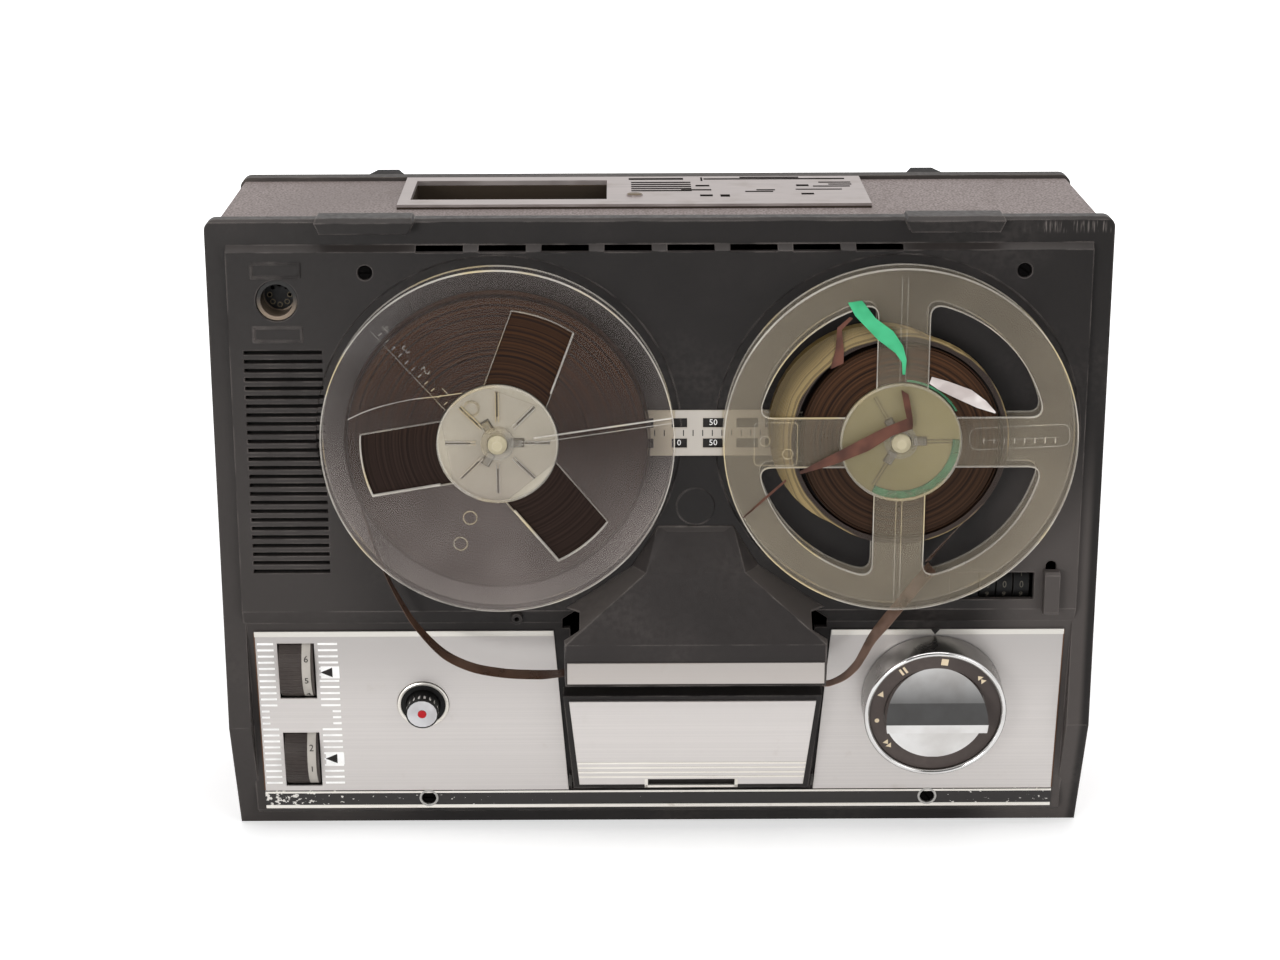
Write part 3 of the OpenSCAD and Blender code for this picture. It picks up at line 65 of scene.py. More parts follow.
class Tap:
    """A value in a material. Sums and products of taps add Math nodes to its tree."""

    def __init__(self, tree, socket):
        self.tree, self.socket = tree, socket

    def node(self, kind, settings=(), sockets=(), out=0):
        made = self.tree.nodes.new(kind)
        for name, value in dict(settings).items():
            setattr(made, name, value)
        for key, value in dict(sockets).items():
            self.join(made.inputs[key], value)
        return Tap(self.tree, made.outputs[out])

    def join(self, socket, value):
        if isinstance(value, Tap):
            self.tree.links.new(value.socket, socket)
        else:
            socket.default_value = value

    def maths(self, operation, *values):
        return self.node("ShaderNodeMath", {"operation": operation}, enumerate(values))

    def __add__(self, other):
        return self.maths("ADD", self, other)

    def __radd__(self, other):
        return self.maths("ADD", other, self)

    def __sub__(self, other):
        return self.maths("SUBTRACT", self, other)

    def __rsub__(self, other):
        return self.maths("SUBTRACT", other, self)

    def __mul__(self, other):
        return self.maths("MULTIPLY", self, other)

    def __rmul__(self, other):
        return self.maths("MULTIPLY", other, self)

    def most(self, *others):
        largest = self
        for other in others:
            largest = self.maths("MAXIMUM", largest, other)
        return largest

    def axis(self, index):
        return self.node("ShaderNodeSeparateXYZ", (), {0: self}, index)

    def scaled(self, x, y, z):
        return self.node("ShaderNodeVectorMath", {"operation": "MULTIPLY"}, {0: self, 1: (x, y, z)})

    def length(self):
        return self.node("ShaderNodeVectorMath", {"operation": "LENGTH"}, {0: self}, "Value")

    def noise(self, scale, detail=2.0):
        return self.node("ShaderNodeTexNoise", (), {"Vector": self, "Scale": scale, "Detail": detail})

    def bands(self, scale, detail):
        """Noise along one value, such as the distance from a spindle."""
        return self.node("ShaderNodeTexNoise", {"noise_dimensions": "1D"}, {
            "W": self, "Scale": scale, "Detail": detail})

    def ease(self, low, high, to_low=0.0, to_high=1.0):
        return self.node("ShaderNodeMapRange", {"interpolation_type": "SMOOTHSTEP"}, {
            "Value": self, "From Min": low, "From Max": high, "To Min": to_low, "To Max": to_high})

    def blend(self, low, high):
        return self.node("ShaderNodeMix", {"data_type": "RGBA"}, {0: self, 6: low, 7: high}, 2)

    def bump(self, distance, strength=1.0, **more):
        return self.node("ShaderNodeBump", (), {
            "Strength": strength, "Distance": distance, "Height": self, **more})


def tone(red, green, blue, gain=1.0):
    """A colour as seen on screen, 0 to 255, as the shader's linear colour."""
    def linear(c):
        c = min(c / 255 * gain, 1)
        return c / 12.92 if c <= 0.04045 else ((c + 0.055) / 1.055) ** 2.4
    return (linear(red), linear(green), linear(blue), 1)


def new_finish(name, **plain):
    """A material, its shader's sockets and a tap on its object coordinates."""
    made = bpy.data.materials.new(name)
    made.use_nodes = True
    tree = made.node_tree
    shader = tree.nodes["Principled BSDF"]
    for socket, value in plain.items():
        shader.inputs[socket.replace("_", " ")].default_value = value
    place = tree.nodes.new("ShaderNodeTexCoord")
    return made, shader.inputs, Tap(tree, place.outputs["Object"])


def ray_kinds(at):
    """Masks for what is seen straight, mirrored, and through clear plastic."""
    return [at.node("ShaderNodeLightPath", (), (), "Is " + kind + " Ray")
            for kind in ("Camera", "Glossy", "Transmission")]


table_finish, table_in, table_at = new_finish(
    "table_white", Base_Color=(0.86, 0.86, 0.86, 1), Roughness=0.9, Specular_IOR_Level=0.1,
    Emission_Strength=1.0)
seen, mirrored, through = ray_kinds(table_at)
table_far = table_at.length().ease(0.3, 1.8)
table_dim = mirrored * table_at.axis(1).ease(-1.1, -0.3, 0.2, 1.0)
table_glow = (seen * 1.5).most(table_dim, through) * (table_far * 0.4 + 0.3)
table_at.join(table_in["Emission Color"], table_glow)
table_mesh = bpy.data.meshes.new("table")
table_mesh.from_pydata([(-8, -6, 0), (8, -6, 0), (8, 10, 0), (-8, 10, 0)], [], [(0, 1, 2, 3)])
table_mesh.materials.append(table_finish)
table = bpy.data.objects.new("table", table_mesh)
scene.collection.objects.link(table)

world = bpy.data.worlds.new("tent")
world.use_nodes = True
scene.world = world
sky = world.node_tree.nodes["Background"]
sky.inputs["Color"].default_value = (1, 1, 1, 1)
tent = Tap(world.node_tree, sky.outputs[0])
seen, mirrored, through = ray_kinds(tent)
shown = seen.most(mirrored, through)
tent_way = tent.node("ShaderNodeTexCoord", (), (), "Generated")
dark_room = tent_way.axis(1).ease(-0.2, -0.6) * tent_way.axis(2).ease(-0.1, 0.25) * 0.88
tent.join(sky.inputs["Strength"], shown * (1 - dark_room * mirrored) + (1 - shown) * 0.5)
LAMP_AIM = Vector((0, 0, 0.12))
for name, spot_at, watts, size in (
        ("lamp_left", (-1.0, -1.9, 0.42), 17, 0.7),
        ("lamp_right", (1.5, -1.7, 1.1), 11, 1.3),
        ("lamp_above", (0.0, -0.1, 2.0), 17, 1.6)):
    lamp = bpy.data.objects.new(name, bpy.data.lights.new(name, "AREA"))
    lamp.data.energy = watts
    lamp.data.size = size
    lamp.location = spot_at
    lamp.rotation_euler = (LAMP_AIM - Vector(spot_at)).to_track_quat("-Z", "Y").to_euler()
    scene.collection.objects.link(lamp)


# Sleeve of the case: a sheet body folded round the sides and covered in a taupe,
# pebble-grained skin. The front moulding and the rear cover close its two ends.
def dress(finish, *nodes):
    """Gives CAD nodes their finish."""
    for node in nodes:
        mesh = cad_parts[node].data
        mesh.materials.clear()
        mesh.materials.append(finish)


def softened(at, radius):
    """The rounded normal of sharp moulded edges, and a mask that is 1 along them."""
    rounded = at.node("ShaderNodeBevel", {"samples": 4}, {"Radius": radius})
    flat = at.node("ShaderNodeNewGeometry", (), (), "Normal")
    same = at.node("ShaderNodeVectorMath", {"operation": "DOT_PRODUCT"}, {0: rounded, 1: flat}, "Value")
    return rounded, same.ease(0.9995, 0.965)


def moulded(name, shade, pale_tone, pebble=1500, depth=0.00005, rough=0.5, edge=0.0007, edge_wear_and_gleam=0.6, dust=0.25,
            gloss=0.2, haze=0.0, lit_from_above=0.0):
    """Moulded plastic or rubber: fine grain, cloudy handling marks, paler edges that are partly wear and
    partly a painted highlight, a paler tone towards the sides and lower down with scuffs on the upper rim,
    and a painted light from above that makes the faces that look up paler."""
    made, shader, at = new_finish(name, Specular_IOR_Level=gloss)
    rounded, edges = softened(at, edge)
    cloud = at.noise(16, 4)
    fleck = at.noise(420, 2)
    base = cloud.ease(0.3, 0.7).blend(tone(*shade, 0.92), tone(*shade, 1.06))
    # Paler edges: partly real wear, partly a painted highlight along the edges.
    worn_and_lit_edges = edges * at.noise(70, 3).ease(0.35, 0.65) * edge_wear_and_gleam
    base = worn_and_lit_edges.blend(base, tone(*pale_tone))
    # Paler towards the sides, more so lower down, with scuffs on the upper rim.
    if haze:
        x = at.axis(0)
        z = at.axis(2)
        sides = x.ease(-0.09, -0.15) * z.ease(0.27, 0.14, 0.25, 0.9)
        sides = sides + x.ease(0.13, 0.16) * x.ease(0.184, 0.181) * z.ease(0.2, 0.13) * 1.9
        scuffed = x.ease(0.146, 0.158) * z.ease(0.2703, 0.2723) * z.ease(0.2766, 0.2746)
        scuffed = scuffed * at.scaled(1100, 1, 90).noise(1.0, 3).ease(0.5, 0.72)
        base = (sides * haze + scuffed * 0.6).blend(base, tone(*pale_tone))
    # Painted light from above: faces that look up are blended towards the pale tone.
    if lit_from_above:
        up = at.node("ShaderNodeTexCoord", (), (), "Normal").axis(2)
        base = (up.ease(0.2, 0.9) * cloud.ease(0.25, 0.6, 0.7, 1.0) * lit_from_above).blend(base, tone(*pale_tone))
    film = cloud.ease(0.45, 0.8) * fleck.ease(0.3, 0.7) * dust
    at.join(shader["Base Color"], film.blend(base, tone(*pale_tone)))
    at.join(shader["Roughness"], fleck.ease(0.2, 0.8, rough - 0.06, rough + 0.1))
    at.join(shader["Normal"], at.noise(pebble, 2).bump(depth, 0.5, Normal=rounded))
    return made


skin, skin_in, skin_at = new_finish("taupe_skin", Specular_IOR_Level=0.35)
skin_cell = skin_at.node("ShaderNodeTexVoronoi", {"feature": "F1"}, {"Vector": skin_at, "Scale": 950})
skin_cloud = skin_at.noise(9, 4)
skin_base = skin_cloud.ease(0.3, 0.7).blend(tone(130, 119, 116), tone(153, 141, 138))
skin_base = skin_cell.ease(0.25, 0.75).blend(skin_base, tone(117, 106, 103))
skin_soil = skin_at.scaled(22, 6, 22).noise(3, 4).ease(0.55, 0.8) * 0.5
skin_at.join(skin_in["Base Color"], skin_soil.blend(skin_base, tone(100, 88, 82)))
skin_at.join(skin_in["Roughness"], skin_cell.ease(0, 0.8, 0.5, 0.68))
skin_at.join(skin_in["Normal"], (1 - skin_cell).bump(0.00008, 0.45))
dress(skin, "case_body")

# Rear cover: a moulded tray over the back, held by four screws in bosses.
# The machine stands on its four rubber feet when it lies flat.
rear_plastic = moulded("rear_plastic", (66, 61, 58), (120, 110, 102), rough=0.55, edge_wear_and_gleam=0.7)
rubber = moulded("foot_rubber", (40, 38, 37), (84, 80, 76), rough=0.75, edge_wear_and_gleam=0.5, dust=0.4)
dress(rear_plastic, "rear_cover")
dress(rubber, "rear_feet")


RIM_FRONT = 54


def spot(x, depth, z):
    """A point in metres from millimetres, with the depth counted from the rim's front."""
    return Vector((x, depth - RIM_FRONT, z)) * 0.001


def deck_put(x0, z0):
    """Places a shape drawn round a point of the upright deck: across, depth, up."""
    return lambda a, d, b: spot(x0 + a, d, z0 + b)


def loft(rings, put, closed=True):
    """A solid through rings of points; without closed its first and last rings are capped."""
    count = len(rings[0])
    points = [put(*p) for ring in rings for p in ring]
    faces = []
    for i in range(len(rings) if closed else len(rings) - 1):
        here, there = i * count, (i + 1) % len(rings) * count
        for j in range(count):
            k = (j + 1) % count
            faces.append((here + j, here + k, there + k, there + j))
    if not closed:
        faces += [tuple(range(count)), tuple(range(len(points) - count, len(points)))]
    return points, faces


def lathe(profile, put, steps=64):
    """A turned ring or disc: the profile is a closed loop of radius and depth."""
    turns = [math.tau * i / steps for i in range(steps)]
    return loft([[(r * math.cos(a), d, r * math.sin(a)) for r, d in profile] for a in turns], put)


def plate(outline, near, far, put):
    """A flat plate with that front view between two depths."""
    return loft([[(a, d, b) for a, b in outline] for d in (near, far)], put, False)


def bar(a0, a1, b0, b1, near, far, put):
    return plate([(a0, b0), (a1, b0), (a1, b1), (a0, b1)], near, far, put)


def as_mesh(name, solids, finish, smooth):
    """Joins solids, merges their seams and turns every face outwards."""
    points, faces = [], []
    for more_points, more_faces in solids:
        faces += [[i + len(points) for i in face] for face in more_faces]
        points += more_points
    mesh = bpy.data.meshes.new(name)
    mesh.from_pydata(points, [], faces)
    work = bmesh.new()
    work.from_mesh(mesh)
    bmesh.ops.remove_doubles(work, verts=work.verts, dist=1e-7)
    bmesh.ops.recalc_face_normals(work, faces=work.faces)
    work.to_mesh(mesh)
    work.free()
    mesh.materials.append(finish)
    mesh.shade_smooth()
    mesh.set_sharp_from_angle(angle=math.radians(smooth))
    return mesh


def piece(name, solids, finish, body, smooth=35):
    """A finished piece that moves with a body."""
    made = bpy.data.objects.new(name, as_mesh(name, solids, finish, smooth))
    scene.collection.objects.link(made)
    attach(made, body)
    return made


def repeat_tree():
    """Geometry nodes that set one unit out along a line, or round a centre."""
    tree = bpy.data.node_groups.new("repeat", "GeometryNodeTree")
    tree.interface.new_socket("Geometry", in_out="INPUT", socket_type="NodeSocketGeometry")
    for name, kind in (("Count", "Int"), ("Start", "Vector"), ("Step", "Vector"), ("Turn", "Vector"),
                       ("Unit", "Object"), ("Finish", "Material")):
        tree.interface.new_socket(name, in_out="INPUT", socket_type="NodeSocket" + kind)
    tree.interface.new_socket("Geometry", in_out="OUTPUT", socket_type="NodeSocketGeometry")
    names = ("NodeGroupInput", "NodeGroupOutput", "GeometryNodeMeshLine", "GeometryNodeInputIndex",
             "ShaderNodeVectorMath", "GeometryNodeObjectInfo", "GeometryNodeInstanceOnPoints",
             "GeometryNodeRealizeInstances", "GeometryNodeSetMaterial")
    given, end, line, index, turn, unit, instances, real, paint = (tree.nodes.new(n) for n in names)
    line.mode = "OFFSET"
    turn.operation = "SCALE"
    for source, out, target, into in (
            (given, "Count", line, "Count"), (given, "Start", line, "Start Location"),
            (given, "Step", line, "Offset"), (given, "Turn", turn, 0), (index, 0, turn, "Scale"),
            (given, "Unit", unit, "Object"), (line, 0, instances, "Points"),
            (unit, "Geometry", instances, "Instance"), (turn, 0, instances, "Rotation"),
            (instances, 0, real, 0), (real, 0, paint, "Geometry"), (given, "Finish", paint, "Material"),
            (paint, 0, end, 0)):
        tree.links.new(source.outputs[out], target.inputs[into])
    return tree


repeat = repeat_tree()


def settled_mesh(holder):
    """The plain mesh of an object, as its modifiers or curve settings shape it."""
    bpy.context.view_layer.update()
    return bpy.data.meshes.new_from_object(holder.evaluated_get(bpy.context.evaluated_depsgraph_get()))


def row(name, unit, count, start, finish, body, step=(0, 0, 0), turn=(0, 0, 0)):
    """A piece made of one unit repeated: start in mm, step in mm, turn in degrees."""
    master = bpy.data.objects.new(name + "_unit", as_mesh(name + "_unit", unit, finish, 35))
    made = bpy.data.objects.new(name, bpy.data.meshes.new(name))
    for obj in (master, made):
        scene.collection.objects.link(obj)
    values = {"Count": count, "Start": spot(*start), "Step": Vector(step) * 0.001,
              "Turn": [math.radians(a) for a in turn], "Unit": master, "Finish": finish}
    nodes = made.modifiers.new("repeat", "NODES")
    nodes.node_group = repeat
    for item in repeat.interface.items_tree:
        if item.in_out == "INPUT" and item.name in values:
            nodes[item.identifier] = values[item.name]
    mesh = settled_mesh(made)
    made.modifiers.remove(nodes)
    made.data = mesh
    bpy.data.objects.remove(master)
    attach(made, body)
    return made


def local(a, d, b):
    """Places a unit round its own origin, in millimetres."""
    return Vector((a, d, b)) * 0.001


dark_steel = moulded("dark_steel", (46, 44, 42), (120, 116, 110), pebble=900, rough=0.38, edge=0.0003)


def polar(r, angle):
    """The point across and up at an angle, in degrees from right to top."""
    return (r * math.cos(math.radians(angle)), r * math.sin(math.radians(angle)))


def arc(r, first, last, steps):
    return [polar(r, first + (last - first) * i / steps) for i in range(steps + 1)]


SCREW_R, SLOT_HALF, SLOT_DEEP, HEAD_DEEP = 2.7, 0.35, 0.6, 1.2


def screw_head(put):
    """A slotted cheese head: two raised halves on a disc."""
    slot_end = math.degrees(math.asin(SLOT_HALF / SCREW_R))
    half = arc(SCREW_R, slot_end, 180 - slot_end, 12)
    other = [(-a, -b) for a, b in half]
    disc = [(0, SLOT_DEEP), (SCREW_R, SLOT_DEEP), (SCREW_R, HEAD_DEEP), (0, HEAD_DEEP)]
    return [plate(half, 0, SLOT_DEEP, put), plate(other, 0, SLOT_DEEP, put), lathe(disc, put, 24)]


def facing_back(a, d, b):
    return local(a, -d, b)


REAR_SCREW_X, REAR_SCREW_DEPTH = 175.8, 107.6
for edge, screw_z in (("upper", 267.3), ("lower", 7.0)):
    rear_screws = row("rear_screws_" + edge, screw_head(facing_back), 2,
                      (-REAR_SCREW_X, REAR_SCREW_DEPTH, screw_z), dark_steel, "recorder",
                      step=(2 * REAR_SCREW_X, 0, 0))
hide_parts("rear_screws")

# Front moulding: one dark plastic casting with a rim, a raised deck and a leaning control bed.
# It carries the lid's two lugs; four slotted screws hold it to the chassis pillars.
# Its faces that look up are painted paler, as if lit from above.
deck_plastic = moulded("deck_plastic", (31, 28, 27), (124, 116, 112), rough=0.46, edge=0.0009, edge_wear_and_gleam=0.55,
                       dust=0.1, haze=0.15, lit_from_above=0.16)
# Near black: painted shade of the deep holes the deck screws sit in, and of the dark space behind the
# deck's slots.
hole_black = moulded("hole_black", (7, 6, 6), (20, 18, 17), rough=0.7, edge_wear_and_gleam=0.1, dust=0.1, gloss=0.03)
dress(deck_plastic, "front_panel")
UPPER_SCREW_X, UPPER_SCREW_Z, UPPER_SCREW_PITCH = -120.5, 256, 269.8
STRIP_SCREW_X, STRIP_SCREW_Z, STRIP_SCREW_PITCH = -101.3, 15.2, 220
# The deck screw heads are near black: painted shade of the holes they sit in.
deck_screws = row("deck_screws_upper", screw_head(local), 2, (UPPER_SCREW_X, -2.9, UPPER_SCREW_Z),
                  hole_black, "recorder", (UPPER_SCREW_PITCH, 0, 0), (0, 35, 0))
row("deck_screws_lower", screw_head(local), 2, (STRIP_SCREW_X, 13.6, STRIP_SCREW_Z),
    hole_black, "recorder", (STRIP_SCREW_PITCH, 0, 0), (0, 50, 0))
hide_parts("deck_screws")
post_profile = [(1.0, -4.6), (2.2, -4.6), (2.5, -4.2), (2.6, -1.0), (1.0, -1.0)]
piece("deck_post", [lathe(post_profile, deck_put(-60.6, 105.4), 24)],
      deck_plastic, "recorder")

# Loudspeaker: a paper cone on a pressed frame with its magnet, behind the deck's slots.
# The cone is nearly black, so the slots read as dark lines.
cone_paper = moulded("cone_paper", (14, 13, 12), (40, 37, 34), pebble=600, rough=0.9, edge_wear_and_gleam=0.1)
zinc = moulded("zinc_sheet", (150, 148, 142), (190, 188, 180), pebble=300, rough=0.42, dust=0.3)
dress(cone_paper, "speaker_cone")
dress(zinc, "speaker_frame", "head_plate")
# The chassis is near black: painted shade behind the deck's slots.
dress(hole_black, "chassis")

# Round socket: a plated shell pressed into the deck round a black insulator.
# Five contact holes lie in a half circle in the insulator.
socket_metal = moulded("socket_metal", (104, 95, 78), (150, 140, 120), pebble=700, rough=0.35)
socket_black = moulded("socket_black", (18, 17, 17), (56, 53, 50), rough=0.5)
shell, shell_in, shell_at = new_finish("socket_shell_metal", Metallic=0.3, Roughness=0.35)
# Painted light and shade: the shell is nearly black in its upper half and lit in its lower half.
shell_lit = shell_at.axis(2).ease(0.2475, 0.2365)
shell_at.join(shell_in["Base Color"], shell_lit.blend(tone(20, 18, 16), tone(128, 112, 96)))
dress(shell, "socket_shell")
dress(socket_black, "socket_insert")
CONTACT_CIRCLE = 4.2
contact = [lathe([(0.75, 0), (1.15, 0), (1.15, 0.5), (0.75, 0.5)],
                 lambda a, d, b: local(a + CONTACT_CIRCLE, d, b), 16)]
row("socket_contacts", contact, 5, (-157.1, 8.05, 244.4), socket_metal, "recorder",
    turn=(0, 45, 0))

# Connector plate on the upper side: a thin etched sheet over a deep well for the leads.
# Its printing is reduced to plain rules and blocks.
plate_metal, plate_in, plate_at = new_finish("plate_metal", Metallic=0.6)
plate_streak = plate_at.scaled(9, 500, 9).noise(4, 3)
plate_soil = plate_at.noise(60, 4).ease(0.5, 0.8) * 0.5
plate_base = plate_streak.ease(0.3, 0.7).blend(tone(156, 146, 143), tone(184, 174, 171))
plate_at.join(plate_in["Base Color"], plate_soil.blend(plate_base, tone(128, 112, 98)))
plate_at.join(plate_in["Roughness"], plate_streak.ease(0.3, 0.7, 0.34, 0.46))
well_plastic = moulded("well_plastic", (60, 50, 40), (112, 96, 78), rough=0.6)
dress(plate_metal, "connector_plate")
dress(well_plastic, "connector_well")


def ink(name, shade, rough=0.55, gloss=0.2):
    """A thin print: flat colour with a little unevenness."""
    made, shader, at = new_finish(name, Specular_IOR_Level=gloss, Roughness=rough)
    at.join(shader["Base Color"], at.noise(200, 3).ease(0.35, 0.75).blend(tone(*shade), tone(*shade, 0.94)))
    return made


print_ink = ink("print_ink", (34, 31, 30))
plate_ink = ink("plate_ink", (24, 20, 18), 0.9, 0.02)
PRINT_THICK, PLATE_TOP = 0.08, 276.3


def top_put(a, up, b):
    """Places a shape on the connector plate: across, above the plate, and its depth."""
    return spot(a, b, PLATE_TOP + up)


PRINT_BLOCKS = (
    (21, 54, 5.4, 3.6), (29, 53.5, 4, 4.6), (64.5, 57, 5.4, 3.2), (63.5, 76, 5.4, 3.6), (20, 76, 6, 3),
    (17, 66.5, 13, 2.4), (70, 67, 20, 1.8), (20, 91, 0.8, 8), (47, 66, 8, 2), (78, 83, 14, 2),
    (80, 78.5, 10, 2), (52, 91.5, 62, 2.6), (50, 95, 26, 2.4), (76, 74, 16, 2), (44, 62.5, 12, 2),
    (0, 92, 24, 3.6))
marks = [bar(x - w / 2, x + w / 2, d - h / 2, d + h / 2, 0, PRINT_THICK, top_put)
         for x, d, w, h in PRINT_BLOCKS]
piece("connector_print", marks, plate_ink, "recorder")
rule = [bar(-13, 13, -1.1, 1.1, 0, PRINT_THICK, lambda a, up, b: local(a, b, up))]
row("connector_rules", rule, 5, (2, 65, PLATE_TOP), plate_ink, "recorder", step=(0, 4.7, 0))
cap_brown = ink("cap_brown", (98, 80, 54), 0.4)
edge_brown = ink("edge_brown", (58, 48, 41))
# A painted shadow: a dark line along the lower half of the plate's front edge.
piece("plate_edge", [bar(-110, 90, 274.32, 275.2, 35.85, 36, spot)],
      edge_brown, "recorder")
CAP_X, CAP_DEPTH = -9.7, 55
cap_profile = [(0, 0.6), (3.3, 0.6), (3.0, 0.75), (0, 0.75)]
piece("plate_cap", [lathe(cap_profile, lambda a, up, b: top_put(CAP_X + a, up, CAP_DEPTH + b), 32)],
      cap_brown, "recorder")

# Works behind the deck: heads, guides, pinch roller, flywheel, belt, motor, transformer and board.
# They are seen only through the slots and with the flap down.
head_metal = moulded("head_metal", (150, 144, 132), (196, 190, 178), pebble=800, rough=0.3)
brass = moulded("bush_brass", (172, 140, 78), (206, 178, 116), pebble=800, rough=0.35)
black_rubber = moulded("rubber_black", (26, 25, 25), (60, 58, 56), rough=0.8)
iron = moulded("iron_core", (74, 70, 66), (110, 104, 98), pebble=400, rough=0.6)
board_brown = moulded("board_brown", (126, 92, 48), (160, 126, 78), pebble=700, rough=0.6)
steel = moulded("bright_steel", (172, 170, 166), (214, 212, 208), pebble=600, rough=0.3, edge=0.0003)
dress(head_metal, "erase_head", "play_head", "flywheel", "motor_pulley")
dress(steel, "pinch_arm", "selector_shaft")
dress(dark_steel, "tape_guides", "flap_pins")
dress(black_rubber, "pinch_roller", "drive_belt")
dress(brass, "capstan_bush", "spindle_bushes", "selector_bush", "potentiometers")
dress(iron, "motor_body", "transformer")
dress(board_brown, "circuit_board")


# Control panels: two sheets of brushed, clear-lacquered aluminium glued to the leaning bed.
# Their upper edge is folded bright, and white lines are printed round the two wheel windows.
def brushed(name, shade, along=(3, 1400, 1400), rough=0.36, soil=0.35, soiled=(150, 132, 110), metal=0.7,
            open_span=None):
    """Sheet metal with fine parallel hairlines, grime that gathers along its edges, and a painted shade
    that darkens it towards its top. Outside open_span, the two ends of its clean stretch, it carries the
    painted shade of the reel flanges over it."""
    made, shader, at = new_finish(name, Metallic=metal)
    hair = at.scaled(*along).noise(1.0, 2)
    cloud = at.noise(18, 4)
    base = hair.ease(0.25, 0.75).blend(tone(*shade, 0.98), tone(*shade, 1.015))
    rounded, edges = softened(at, 0.0012)
    # Painted shade: the sheet darkens towards its top.
    base = at.axis(2).ease(0.1, 0.05, 0.0, 1.0).blend(tone(*shade, 0.87), base)
    # Painted shade: outside the open span, where the reels' flanges lie over the sheet, it is darkened.
    if open_span:
        x = at.axis(0)
        first, last = open_span
        fade = 0.0005
        under_reel_shade = x.ease(first + fade, first - fade) + x.ease(last - fade, last + fade)
        base = under_reel_shade.blend(base, tone(172, 160, 140))
    dirt = (edges * 0.7 + at.noise(90, 4).ease(0.62, 0.85)) * cloud.ease(0.35, 0.7) * soil
    at.join(shader["Base Color"], dirt.blend(base, tone(*soiled)))
    at.join(shader["Roughness"], hair.ease(0.25, 0.75, rough - 0.03, rough + 0.05))
    at.join(shader["Normal"], hair.bump(0.00001, 0.2))
    return made


panel_metal = brushed("brushed_panel", (206, 201, 198))
bright_fold = brushed("bright_fold", (246, 242, 234), rough=0.3, soil=0.6)
dress(panel_metal, "left_panel", "right_panel")
LEAN = math.radians(8.9)
PANEL_TOP = 98.3


def leaning(a, out, b):
    """Tips a unit back onto the slope of the panels."""
    return local(a, -out * math.cos(LEAN) - b * math.sin(LEAN), -out * math.sin(LEAN) + b * math.cos(LEAN))


def panel_put(x0, z0, lift=0.0):
    """Places a shape drawn round a point of the leaning panels: across, out, up the slope."""
    foot = spot(x0, (PANEL_TOP - z0) * math.tan(LEAN), z0)
    return lambda a, out, b: foot + leaning(a, out + lift, b)


PANEL_EDGE, PANEL_FOOT, FOLD_HIGH, FOLD_THICK = 173.3, 19.4, 2.3, 0.12
at_top = panel_put(0, PANEL_TOP)
piece("panel_folds", [bar(a0, a1, -FOLD_HIGH, 0.2, 0, FOLD_THICK, at_top)
                      for a0, a1 in ((-PANEL_EDGE, -45.3), (73.9, PANEL_EDGE))],
      bright_fold, "recorder")
stain = ink("edge_stain", (96, 66, 46))
foot_row = -(PANEL_TOP - PANEL_FOOT) / math.cos(LEAN)
piece("panel_stains", [bar(a0, a1, foot_row, 0, 0, 0.1, at_top)
                       for a0, a1 in ((-173.55, -173.1), (173.1, 173.55))],
      stain, "recorder")
white_ink = ink("white_ink", (253, 252, 250))


def in_mm(point):
    """A point in metres as the three numbers that spot takes."""
    return (point.x * 1000, point.y * 1000 + RIM_FRONT, point.z * 1000)


STRIPE_DROP, STRIPE_PITCH, STRIPE_HALF = 5.8, 3.05, 0.5
stripe_start = at_top(0, 0, -STRIPE_DROP)
stripe_step = leaning(0, 0, -STRIPE_PITCH)
long_dashes, short_dashes = ((-172.4, -165.4), (-146.4, -138)), ((-172.4, -169), (-141.6, -138))
for part, dashes, first, count in (("upper", long_dashes, 0, 11), ("lower", long_dashes, 14, 10),
                                   ("middle", short_dashes, 11, 3)):
    stripe = [bar(a0, a1, -STRIPE_HALF, STRIPE_HALF, 0, PRINT_THICK, leaning) for a0, a1 in dashes]
    row("panel_stripes_" + part, stripe, count, in_mm(stripe_start + stripe_step * first),
        white_ink, "recorder", step=stripe_step * 1000)
TONE_Z, VOLUME_Z, WHEEL_X, POINTER_X = 79.3, 35.2, -155.9, -141.7
pointer_fields, pointers = [], []
for pointer_z in (TONE_Z - 0.6, VOLUME_Z + 0.4):
    put = panel_put(POINTER_X, pointer_z)
    pointer_fields.append(bar(-4, 4, -3, 3, 0, 2 * PRINT_THICK, put))
    pointers.append(plate([(-4.1, 0), (1.0, -2.4), (1.0, 2.4)], 2 * PRINT_THICK, 3 * PRINT_THICK, put))
piece("pointer_fields", pointer_fields, white_ink, "recorder")
piece("pointers", pointers, print_ink, "recorder")
KNOB_X, KNOB_Z = 118.2, 65.5
index = [(0, -2.2), (-1.9, 0.4), (1.9, 0.4)]
piece("knob_index", [plate(index, 2 * PRINT_THICK, 0.3, panel_put(KNOB_X, PANEL_TOP))],
      print_ink, "recorder")

# Lower strip: a painted strip under the panels, with two bright lines, worn through at the ends.
# Its two screws sit in plated rings.
strip_dark, strip_in, strip_at = new_finish("dark_strip", Specular_IOR_Level=0.4)
strip_x = strip_at.axis(0)
strip_scratch = strip_at.scaled(520, 300, 620).noise(1.0, 5)
strip_ends = strip_x.ease(-0.12, -0.165) + strip_x.ease(0.1, 0.14) * 0.7 + strip_x.ease(-0.03, -0.08) * 0.45
strip_worn = (strip_scratch + strip_ends * 0.13).ease(0.74, 0.77)
strip_at.join(strip_in["Base Color"], strip_worn.blend(tone(40, 37, 36), tone(222, 218, 212)))
strip_at.join(strip_in["Roughness"], strip_worn.ease(0, 1, 0.42, 0.3))
strip_at.join(strip_in["Metallic"], strip_worn * 0.6)
dress(strip_dark, "bottom_strip")
strip_put = panel_put(0, 19.2)
